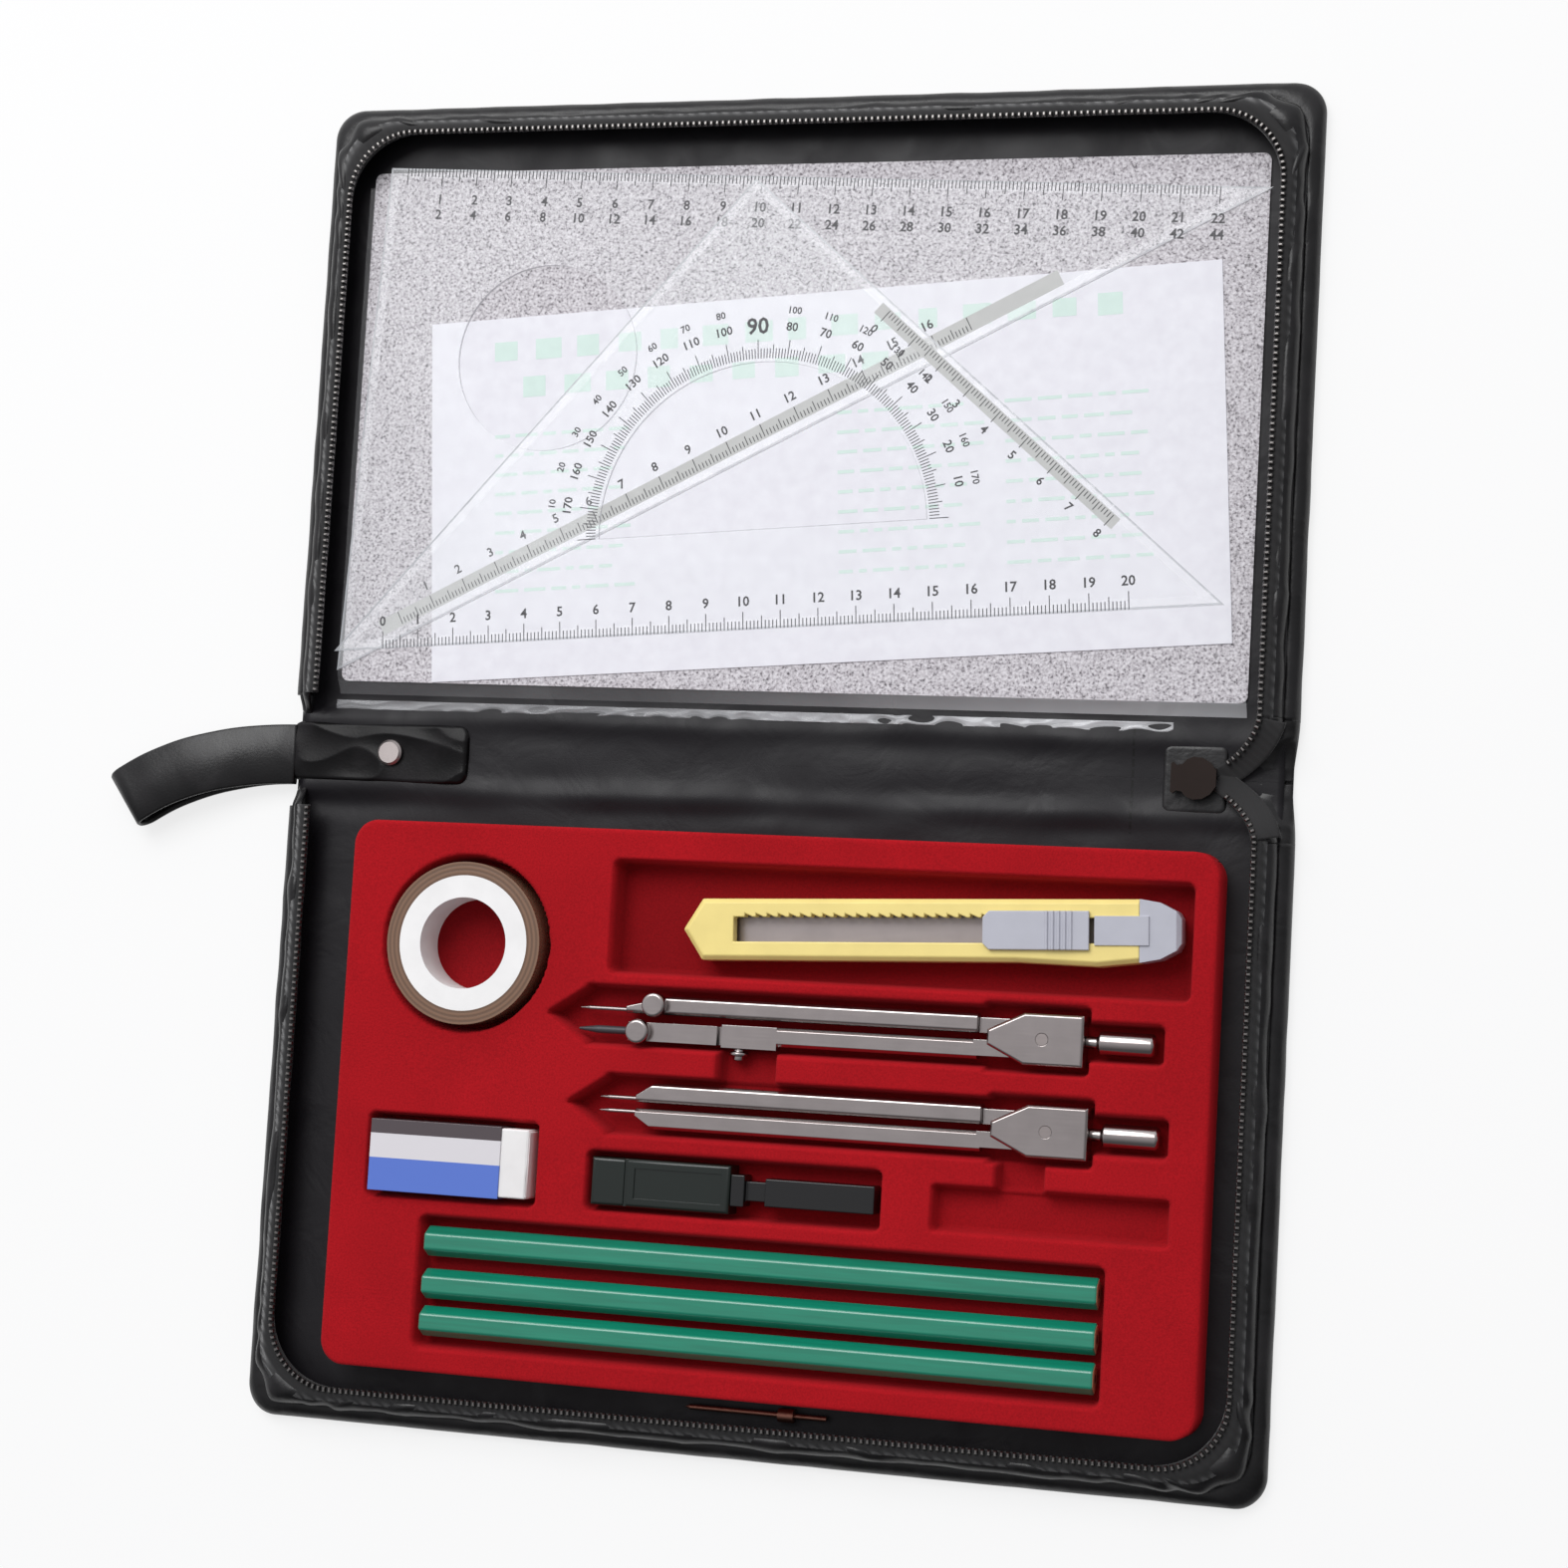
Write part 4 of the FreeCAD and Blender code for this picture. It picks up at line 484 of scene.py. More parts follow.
def make(name, points, faces, finish, smooth=True, outward=False, ends=()):
    """A mesh piece from points in millimetres and faces; ends are rings of points to close."""
    mesh = bpy.data.meshes.new(name)
    places = (np.asarray(points).reshape(-1, 3) * MM).tolist()
    mesh.from_pydata(places, [], [list(face) for face in (*faces, *ends)])
    if outward:
        work = bmesh.new()
        work.from_mesh(mesh)
        bmesh.ops.recalc_face_normals(work, faces=work.faces)
        work.to_mesh(mesh)
        work.free()
    mesh.materials.append(finish)
    mesh.polygons.foreach_set("use_smooth", np.full(len(mesh.polygons), smooth))
    piece = bpy.data.objects.new(name, mesh)
    bpy.context.scene.collection.objects.link(piece)
    return piece


def sheet(name, points, finish, **settings):
    """A grid of points as one sheet."""
    return make(name, points, grid_faces(*points.shape[:2]), finish, **settings)


def tube(name, points, finish):
    """A closed profile (second axis) carried along a path (first axis), with closed ends."""
    rows, columns = points.shape[:2]
    ends = (np.arange(columns), (rows - 1) * columns + np.arange(columns)[::-1])
    return make(name, points, grid_faces(rows, columns, True), finish, outward=True, ends=ends)


def thicken(piece, thick, offset=-1.0):
    """Give a sheet its thickness, in millimetres."""
    wall = piece.modifiers.new("thickness", "SOLIDIFY")
    wall.thickness = thick * MM
    wall.offset = offset
    return piece


def ripple(a, b, seed, low, high, waves=14):
    """Sum of sine waves of random direction, between low and high millimetres long, of about unit size."""
    rng = np.random.default_rng(seed)
    total = np.zeros(np.broadcast(a, b).shape)
    sizes, turns = rng.uniform(low, high, waves), rng.uniform(0, math.pi, waves)
    for size, turn, phase in zip(sizes, turns, rng.uniform(0, 2 * math.pi, waves)):
        total += np.sin(2 * math.pi * (a * math.cos(turn) + b * math.sin(turn)) / size + phase)
    return total / math.sqrt(waves)


def creases(a, b, seed, low, high):
    """Folds of slack cloth: the ridges of a ripple, sharp on top and wide between."""
    return 1 - 2 * np.abs(np.tanh(ripple(a, b, seed, low, high, 7)))


def smooth_step(x):
    """Rises smoothly from 0 to 1 as x does."""
    held = np.clip(x, 0, 1)
    return held * held * (3 - 2 * held)


def quarter_round(depth, radius):
    """Height share of a rounded edge: a quarter circle from 0 at the edge to 1 at the radius."""
    return np.sqrt(np.clip(1 - (1 - np.clip(depth / radius, 0, 1)) ** 2, 0, 1))


def unit(vector):
    """A direction of length one."""
    return np.array(vector) / np.linalg.norm(vector)


def headings(path):
    """Unit steps along a path of plan points."""
    forward = np.gradient(path, axis=0)
    return forward / np.linalg.norm(forward, axis=1)[:, None]


def along(points):
    """Distance along a path, from its start."""
    return np.concatenate([[0], np.cumsum(np.linalg.norm(np.diff(points, axis=0), axis=1))])


def at_run(where, run, values):
    """Rows of values read at distances along their path."""
    return np.stack([np.interp(where, run, column) for column in values.T], axis=1)


def raised(plan, height):
    """Plan points with their heights."""
    return np.concatenate([plan, height[..., None]], axis=-1)


def mirrored(points):
    """The same points on the lid half, across the middle of the spine."""
    turned = points.copy()
    turned[..., 1] = 2 * SPINE - turned[..., 1]
    return turned


HALVES = {"tray": ("tray_half", lambda points: points), "lid": ("lid_half", mirrored)}


def stand_in(piece, node, body):
    """Put a piece in the place of a node and its body."""
    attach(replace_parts(piece, node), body)


def over_fold(piece, half):
    """Bake a piece's place into its mesh, the same for either half."""
    if half == "tray":
        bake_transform(piece)
    else:
        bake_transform(piece)


def held_inside(plan, half, radius):
    """Points of a rectangle drawn into a rounded one, corner squares into quarter discs, and their depth."""
    core = np.array(half) - radius
    nearest = np.clip(plan, -core, core)
    away = plan - nearest
    reach = np.abs(away).max(axis=-1)
    inside = (core - np.abs(plan)).min(axis=-1) + radius
    depth = np.where(reach > 0, radius - reach, inside)
    scale = np.minimum(reach, radius) / np.maximum(np.linalg.norm(away, axis=-1), 1e-9)
    return nearest + away * scale[..., None], np.clip(depth, 0, None)


def border(rows, columns):
    """The points round the edge of a grid, in order."""
    index = np.arange(rows * columns).reshape(rows, columns)
    return np.concatenate([index[0, :-1], index[:-1, -1], index[-1, :0:-1], index[:0:-1, 0]])


PLATE_EDGE = 1.2
PLATE_OVER = 1.08


def cushion_plate(name, node, radius, finish, rise=None):
    """A thin soft plate in a node's box: a grid over a rounded rectangle, rounded down to its edge."""
    low, high = span(node)
    middle, half = (low[:2] + high[:2]) / 2, (high[:2] - low[:2]) / 2
    steps = [np.linspace(-PLATE_OVER, PLATE_OVER, count) for count in (90, 60)]
    plan = np.stack(np.meshgrid(*steps, indexing="ij"), axis=-1) * half
    flat, depth = held_inside(plan, half, radius)
    flat = flat + middle
    lift = quarter_round(depth, PLATE_EDGE) * (high[2] - low[2])
    if rise is not None:
        lift = lift * (1 + rise(flat[..., 0], flat[..., 1]))
    points = raised(flat, low[2] + lift)
    return sheet(name, points, finish, ends=[border(*points.shape[:2])], outward=True)


def dress(finish, *nodes):
    """Give nodes of the frame their finish."""
    for node in nodes:
        mesh = frame["nodes"][node].data
        mesh.materials.clear()
        mesh.materials.append(finish)


def soften(width, *nodes):
    """Round the sharp edges of hard pieces over that width in millimetres, so that they catch the light."""
    for node in nodes:
        piece = frame["nodes"][node]
        weld = piece.modifiers.new("joined_corners", "WELD")
        weld.merge_threshold = 0.002 * MM
        plain = piece.modifiers.new("plain_faces", "DECIMATE")
        plain.decimate_type = "DISSOLVE"
        plain.angle_limit = math.radians(0.5)
        edge = piece.modifiers.new("soft_edges", "BEVEL")
        edge.width = width * MM
        edge.segments = 3
        edge.limit_method = "ANGLE"
        edge.angle_limit = math.radians(25)
        edge.harden_normals = True


def see_through(piece):
    """Let the light of the lamps and the room pass a clear sheet unhindered."""
    piece.visible_shadow = False
    piece.visible_diffuse = False


# Soft case

SIDE_STEPS, ARC_STEPS, FRONT_STEPS = 150, 36, 240
RIM_INSET = 10.0
RIM_ROUND = 18.6
TEETH_INSET = 9.0
# Wall section, inset from the cover's edge and height: the bound edge, a groove, the puffed wall and back
WALL_SECTION = np.array([
    (3.0, 0.05), (1.3, 0.02), (0.45, 0.2), (0.05, 0.8), (0.0, 1.7), (0.25, 2.7), (0.9, 3.7), (1.9, 4.5),
    (3.0, 4.9), (3.8, 4.85), (4.15, 4.7), (4.05, 5.3), (3.8, 6.2), (3.85, 7.2), (4.25, 8.2), (5.0, 9.1),
    (6.0, 9.65), (7.0, 9.75), (7.25, 9.45), (6.3, 8.9), (5.5, 7.6), (5.1, 5.8), (4.9, 4.2), (4.8, 2.7)])
BOUND_EDGE = 9
WALL_TOP = 18
# Shortest and longest waves of the folds in the walls and their ends, and the spacing of the gathers
LONG_FOLDS = (26, 70)
SHORT_FOLDS = (12, 28)
END_FOLDS = (7, 20)
GATHER_SPACING = 8.5
# How far a wall's end reaches back into the wall, its distance from the side, and its thickness
END_OVERLAP = 0.3
END_MARGIN = 1.2
END_THICK = 0.35
# Covers and linings: distance from the edge, thickness, and where the sheets come loose towards the spine
COVER_MARGIN = 1.2
COVER_SKIN = COVER_THICK * 0.6
LINING_MARGIN = 3.2
LINING_THICK = 0.3
GLUED_TO = TRAY_FOLD - 12
# Zip tape section: inset and height
TAPE_SECTION = np.array([(5.8, 9.72), (7.6, 10.15), (9.3, 10.2), (9.6, 9.95), (9.3, 9.65), (7.4, 9.5)])
# One zip tooth, half sizes along and across the path at each height: a moulded block on a wider foot
TOOTH_RINGS = [(0.46, 0.66, 0.0), (0.46, 0.66, 0.5), (0.36, 0.52, 0.95), (0.2, 0.34, 1.15)]


def three_sides(inset, radius):
    """Plan points round the three zipped sides, inset from the edge: straight runs and quarter circles."""
    wide = HALF_WIDE - inset
    front = COVER_LOW[1] + inset
    run = np.linspace(WALL_END, front + radius, SIDE_STEPS, endpoint=False)
    turn = np.linspace(0, math.pi / 2, ARC_STEPS, endpoint=False)
    across = np.linspace(-wide + radius, wide - radius, FRONT_STEPS, endpoint=False)
    back = np.linspace(front + radius, WALL_END, SIDE_STEPS + 1)
    x = [np.full_like(run, -wide), -wide + radius - radius * np.cos(turn), across,
         wide - radius + radius * np.sin(turn), np.full_like(back, wide)]
    y = [run, front + radius - radius * np.sin(turn), np.full_like(across, front),
         front + radius - radius * np.cos(turn), back]
    return np.stack([np.concatenate(x), np.concatenate(y)], axis=1)


def rim_point(inset):
    """The plan path at an inset, between the tight outer corner and the wide corner of the zip."""
    outer = three_sides(0, bpy.context.scene.case_settings.outer_round)
    inner = three_sides(RIM_INSET, RIM_ROUND)
    return outer + (inner - outer) * (inset / RIM_INSET)


def corner_share(count):
    """One at the middle of the two corners, falling to zero along the sides."""
    index = np.arange(count)
    first = SIDE_STEPS + ARC_STEPS / 2
    second = first + ARC_STEPS + FRONT_STEPS
    reach = ARC_STEPS * 0.75
    return np.exp(-((index - first) / reach) ** 2) + np.exp(-((index - second) / reach) ** 2)


def wall(half):
    """The soft wall of one half: its section round three sides, with wrinkles and gathered corners."""
    case = bpy.context.scene.case_settings
    body, turn = HALVES[half]
    outer, inner = rim_point(0), rim_point(RIM_INSET)
    run = along(outer)[:, None]
    up = along(WALL_SECTION)[None, :]
    seed = SEED + len(half)
    folds = 0.6 * creases(run, up * 1.3, seed, *LONG_FOLDS) + 0.4 * ripple(run, up, seed + 1, *SHORT_FOLDS)
    deep = case.wrinkle * folds
    corner = corner_share(len(outer))[:, None]
    pleat = np.sin(2 * math.pi * run / GATHER_SPACING + 0.12 * up) * corner * case.gather
    free = smooth_step((up - up[0, BOUND_EDGE]) / 3)
    push = (deep * (1 - 0.4 * corner) + pleat) * free + 0.25 * deep * (1 - free)
    edge = np.roll(WALL_SECTION, -1, axis=0) - np.roll(WALL_SECTION, 1, axis=0)
    normal = np.stack([-edge[:, 1], edge[:, 0]], axis=1) / np.linalg.norm(edge, axis=1)[:, None]
    inset = np.clip(WALL_SECTION[None, :, 0] + push * normal[None, :, 0], 0, RIM_INSET)
    height = np.clip(WALL_SECTION[None, :, 1] + push * normal[None, :, 1], 0.02, TEETH_FOOT)
    share = inset[..., None] / RIM_INSET
    plan = outer[:, None, :] * (1 - share) + inner[:, None, :] * share
    piece = tube(f"{half}_wall", turn(raised(plan, height)), coated_fabric(f"{half}_wall_fabric"))
    stand_in(piece, f"{half}_gusset", body)


def wall_end(half, side, inner, stop, first):
    """The end of a wall: its outer section past the fold, sinking and spreading over the spine."""
    section = WALL_SECTION[first:WALL_TOP]
    share = np.linspace(0, 1, 36)[:, None]
    sink = smooth_step(share)
    out = 1 - section[None, :, 0] / section[-1, 0]
    spread = inner + (HALF_WIDE - END_MARGIN - inner) * out
    flat = FLOOR + 0.45 - (FLOOR - COVER_THICK) * out
    x = (HALF_WIDE - section[None, :, 0]) * (1 - sink) + spread * sink
    start = WALL_END - END_OVERLAP
    y = np.broadcast_to(start + (stop - start) * share, x.shape)
    z = section[None, :, 1] * (1 - sink) + flat * sink
    fold = creases(x + 0.9 * y, y - 0.5 * x, SEED + 70, *END_FOLDS)
    z = z + 0.7 * fold * 4 * out * (1 - out) * smooth_step(share * 4)
    points = HALVES[half][1](np.stack([side * x, y, np.maximum(z, COVER_THICK + 0.3)], axis=-1))
    name = f"{half}_wall_end_{'right' if side > 0 else 'left'}"
    piece = sheet(name, points, coated_fabric(f"{name}_fabric", 0.3))
    if (side > 0) == (half == "lid"):
        piece.data.flip_normals()
    thicken(piece, END_THICK)
    over_fold(piece, half)


def zip_tape(half):
    """The woven tape between the wall and the teeth, a thin strip that waves a little."""
    body, turn = HALVES[half]
    plan = np.stack([rim_point(inset) for inset in TAPE_SECTION[:, 0]], axis=1)
    run = along(rim_point(0))[:, None]
    wave = 0.12 * ripple(run, TAPE_SECTION[None, :, 0], SEED + 20, 12, 30)
    points = raised(plan, TAPE_SECTION[None, :, 1] + wave)
    piece = tube(f"{half}_tape", turn(points), woven_tape(f"{half}_zip_tape"))
    stand_in(piece, f"{half}_zip_tape", body)


def tooth_row(name, half, path, heights, metal):
    """Copies of the tooth at even steps along a path of plan points, standing on the given heights."""
    case = bpy.context.scene.case_settings
    run = along(path)
    at = np.arange(case.tooth_pitch / 2, run[-1], case.tooth_pitch)
    place = at_run(at, run, path)
    step = at_run(at + 0.3, run, path) - at_run(at - 0.3, run, path)
    forward = step / np.linalg.norm(step, axis=1)[:, None]
    across = np.stack([-forward[:, 1], forward[:, 0]], axis=1)
    ring = [(-1, -1), (1, -1), (1, 1), (-1, 1)]
    shape = np.array([(a * x, b * y, z) for a, b, z in TOOTH_RINGS for x, y in ring])
    plan = place[:, None, :] + shape[:, :1] * forward[:, None, :] + shape[:, 1:2] * across[:, None, :]
    points = raised(plan, np.interp(at, run, heights)[:, None] + shape[None, :, 2])
    ends = [[3, 2, 1, 0], [12, 13, 14, 15]]
    one = np.concatenate([grid_faces(len(TOOTH_RINGS), len(ring), True), ends])
    faces = (np.arange(len(at))[:, None, None] * len(shape) + one[None]).reshape(-1, 4)
    finish = plated(metal, tuple(case.tooth), 0.32)
    return make(name, HALVES[half][1](points), faces, finish, smooth=False, outward=True)


def soft_sheet(name, half, margin, level, rise, finish, replaced, thick, grow=-1.0):
    """A sheet of one half as a grid over its plan: flat where it is glued, with folds along the spine."""
    wide, low = HALF_WIDE - margin, COVER_LOW[1] + margin
    seam = 0.05
    x = np.linspace(-wide, wide, 150)[None, :]
    spine = np.append(np.linspace(GLUED_TO, SPINE - seam, 70)[1:], SPINE)
    y = np.concatenate([np.linspace(low, GLUED_TO, 60), spine])[:, None]
    plan = np.stack(np.broadcast_arrays(x, y - SPINE), axis=-1)
    radius = bpy.context.scene.case_settings.outer_round
    plan = held_inside(plan, (wide, SPINE - low), radius)[0] + np.array([0, SPINE])
    piece = sheet(name, HALVES[half][1](raised(plan, level + rise(plan[..., 0], plan[..., 1]))), finish)
    if half == "tray":
        piece.data.flip_normals()
    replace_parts(thicken(piece, thick, grow), *replaced)
    over_fold(piece, half)


class CASE_OT_walls(bpy.types.Operator):
    """Soft walls of both halves"""
    bl_idname = "drawing_case.walls"
    bl_label = "Walls"

    def execute(self, context):
        slider = span("zip_slider")[1]
        for half in HALVES:
            wall(half)
            wall_end(half, 1, inner=slider[0] + 0.5, stop=SPINE - 0.3, first=4)
            wall_end(half, -1, inner=HALF_WIDE - 5.0, stop=SPINE - 9.2, first=7)
        return {"FINISHED"}


class CASE_OT_covers(bpy.types.Operator):
    """Outer covers, from each half to the middle of the spine"""
    bl_idname = "drawing_case.covers"
    bl_label = "Outer covers"

    def execute(self, context):
        skin = coated_fabric("cover_fabric")

        def sag(x, y):
            """Shallow swells away from the sides."""
            middle = smooth_step((HALF_WIDE - np.abs(x)) / 20)
            return 0.12 * np.clip(ripple(x, y, SEED + 30, 30, 90), 0, 1) * middle

        for half, nodes in (("tray", ("tray_cover", "spine_cover")), ("lid", ("lid_cover",))):
            name = f"{half}_cover_skin"
            soft_sheet(name, half, COVER_MARGIN, 0.0, sag, skin, nodes, COVER_SKIN, 1.0)
        return {"FINISHED"}


class CASE_OT_linings(bpy.types.Operator):
    """Linings, from inside each half to the middle of the spine"""
    bl_idname = "drawing_case.linings"
    bl_label = "Linings"

    def execute(self, context):
        skin = lining_cloth("lining")

        def slack(x, y):
            """A roll along the fold line, and folds that run along the spine."""
            near = smooth_step((y - TRAY_FOLD + 9) / 8)
            roll = 0.9 * np.exp(-((y - TRAY_FOLD - 1.5) / 3.2) ** 2)
            folds = 0.35 * ripple(x * 0.35, SPINE - np.hypot(SPINE - y, 4.0), SEED + 31, 9, 24)
            return near * (roll + folds) - 0.05

        for half, nodes in (("tray", ("tray_lining", "spine_lining")), ("lid", ("lid_lining",))):
            name = f"{half}_lining_sheet"
            soft_sheet(name, half, LINING_MARGIN, FLOOR, slack, skin, nodes, LINING_THICK)
        return {"FINISHED"}


class CASE_OT_zip(bpy.types.Operator):
    """Zip tapes, teeth, tails, end tab, slider and pull"""
    bl_idname = "drawing_case.zip"
    bl_label = "Zip"

    def execute(self, context):
        path = rim_point(TEETH_INSET)
        level = np.full(len(path), TEETH_FOOT)
        for half, (body, _) in HALVES.items():
            zip_tape(half)
            teeth = tooth_row(f"{half}_teeth", half, path, level, f"{half}_zip_teeth")
            stand_in(teeth, f"{half}_zip_teeth", body)
            self.tail(half, path[-1])
        tab = cushion_plate("zip_tab", "zip_end_tab", 2.0, coated_fabric("zip_tab_fabric"))
        stand_in(tab, "zip_end_tab", "spine")
        dress(plated("zip_bronze", tuple(context.scene.case_settings.bronze), 0.42), "zip_slider", "zip_pull")
        return {"FINISHED"}

    def tail(self, half, edge):
        """The end of the zip: tape and teeth on a smooth bend from the rim down to the slider."""
        high = span("zip_slider")[1]
        share = np.linspace(0, 1, 40)
        stop = np.array([high[0] - 1.0, SPINE - 1.6])
        bend = np.array([edge[0] - 1.0, (edge[1] + stop[1]) / 2])
        weights = ((1 - share) ** 2, 2 * share * (1 - share), share ** 2)
        plan = sum(weight[:, None] * point for weight, point in zip(weights, (edge, bend, stop)))
        height = TEETH_FOOT + (high[2] - 0.8 - TEETH_FOOT) * smooth_step(share)
        forward = headings(plan)
        side = np.stack([forward[:, 1], -forward[:, 0]], axis=1)
        spread = np.linspace(-0.9, 6.5, 10)[None, :] * (1 - 0.25 * share[:, None])
        tape = plan[:, None, :] + side[:, None, :] * spread[..., None]
        drop = height[:, None] - 0.1 - 0.25 * np.clip(spread, 0, None) * smooth_step(share)[:, None]
        points = HALVES[half][1](raised(tape, np.maximum(drop, FLOOR + 0.5)))
        strip = sheet(f"{half}_tail_tape", points, woven_tape(f"{half}_tail_weave"))
        clear = share < 0.88
        teeth = tooth_row(f"{half}_tail_teeth", half, plan[clear], height[clear], f"{half}_tail_metal")
        for piece, slot in ((thicken(strip, 0.5), "zip_tape"), (teeth, "zip_teeth")):
            over_fold(piece, half)


# Hand strap: how far its root lies past the frame's strap, its end's radius, its height, half its thickness
STRAP_ROOT = 1.4
STRAP_ROUND = 3.4
STRAP_FOOT = 0.9
STRAP_THICK = 0.55


class CASE_OT_strap(bpy.types.Operator):
    """Strap patch on the spine, its rivet and the hand strap"""
    bl_idname = "drawing_case.strap"
    bl_label = "Hand strap"

    def execute(self, context):
        def slack(x, y):
            """Slanting folds."""
            return 0.3 * creases(x * 0.6, y + 0.3 * x, SEED + 40, 9, 26)

        skin = coated_fabric("patch_fabric", 0.25, 0.16)
        patch = cushion_plate("patch_tab", "strap_patch", 3.0, skin, slack)
        stand_in(patch, "strap_patch", "spine")
        dress(plated("rivet_nickel", tint("nickel"), 0.4), "strap_rivet")
        self.loop(context.scene.case_settings.strap_width / 2)
        return {"FINISHED"}

    def loop(self, half):
        """A flat strap sewn into a loop: out along the lower run, round the end and back along the upper."""
        low, high = span("hand_strap")
        root = high[0] + STRAP_ROOT
        guide = np.array([(root, SPINE - 1.2), (root - 19, SPINE - 1.4), (root - 36, SPINE - 6.5),
                          (low[0] + 3, SPINE - 15.5)])
        reach = np.linspace(0, 1, 80)
        weights = [(1 - reach) ** 3, 3 * reach * (1 - reach) ** 2, 3 * reach ** 2 * (1 - reach), reach ** 3]
        centre = sum(weight[:, None] * point for weight, point in zip(weights, guide))
        run = along(centre)
        bend = run[-1] - STRAP_ROUND
        turn = np.linspace(-math.pi / 2, math.pi / 2, 16)[1:-1]
        share = np.linspace(0, 1, 70)
        there = bend * share
        out = np.concatenate([there, bend + STRAP_ROUND * np.cos(turn), there[::-1]])
        top = span("strap_patch")[1][2]
        crown = STRAP_FOOT + 2 * STRAP_ROUND
        lower = STRAP_FOOT + (top - 2.2) * smooth_step(1 - share * 2.2)
        upper = crown - (crown - top) * smooth_step(share * 1.3 - 0.3)
        height = np.concatenate([lower, STRAP_FOOT + STRAP_ROUND + STRAP_ROUND * np.sin(turn), upper])
        ahead = at_run(out, run, headings(centre))
        across = np.stack([-ahead[:, 1], ahead[:, 0], np.zeros(len(out))], axis=1)
        rise, travel = np.gradient(height), np.gradient(out)
        size = np.hypot(rise, travel)
        normal = raised(ahead * (-rise / size)[:, None], travel / size)
        upper_side = [(half, 0.4), (half - 0.5, 1), (half - 2.2, 0.9), (half - 2.6, 0.5), (half - 3.0, 1)]
        section = [(-half, -0.4), (-half + 0.5, -1), (half - 0.5, -1), (half, -0.4), *upper_side]
        section += [(-wide, share_up) for wide, share_up in upper_side[::-1]]
        section = np.array(section) * np.array([1, STRAP_THICK])
        place = raised(at_run(out, run, centre), height)
        points = place[:, None, :] + section[:, :1] * across[:, None, :] + section[:, 1:] * normal[:, None, :]
        slack = 0.12 * ripple(points[..., 0], points[..., 1], SEED + 41, 8, 20)
        points[..., 2] = np.maximum(points[..., 2] + slack, 0.1)
        band = tube("strap_band", points, coated_fabric("strap_fabric", 0.25))
        stand_in(band, "hand_strap", "strap")


# Tray

TRAY_ROUND = 7.0
TAPE_ROOM = 1.5
RECESS_ROOM = 1.2
RECESS_ROUND = 1.6
# Square recesses: the pieces that lie in one, and the further room on its left, its right and both its sides
RECESSES = [
    (("cutter_body", "cutter_cap"), 18.0, 1.0, 2.8),
    (("eraser_sleeve", "eraser_block"), 0.0, 0.0, 0.0),
    (("lead_box_body", "lead_box_cap"), 0.0, 0.0, 0.0),
    (("pencil_a", "pencil_b", "pencil_c"), 0.0, 0.0, 1.0)]
LEG_HALF, HEAD_HALF, GRIP_HALF = 7.4, 8.2, 4.6
# Openings that the part's record names for the tray, and how much further each runs to the left
NOTCHES = {"spare_recess": 0.0, "head_notch": 0.0, "leg_notch": 6.0}
NOTCH_ROOM = 0.6


def box_distance(plan, low, high, radius):
    """Signed distance to a rounded rectangle between two corners, negative inside."""
    away = np.abs(plan - (low + high) / 2) - (high - low) / 2 + radius
    return np.linalg.norm(np.maximum(away, 0), axis=-1) + np.minimum(away.max(axis=-1), 0) - radius


def wedge_distance(plan, tip, reach, half):
    """Signed distance to a wedge that opens along X from its tip over the reach to the half width."""
    ahead, aside = plan[..., 0] - tip[0], np.abs(plan[..., 1] - tip[1])
    return np.maximum((aside * reach - ahead * half) / math.hypot(reach, half), ahead - reach)


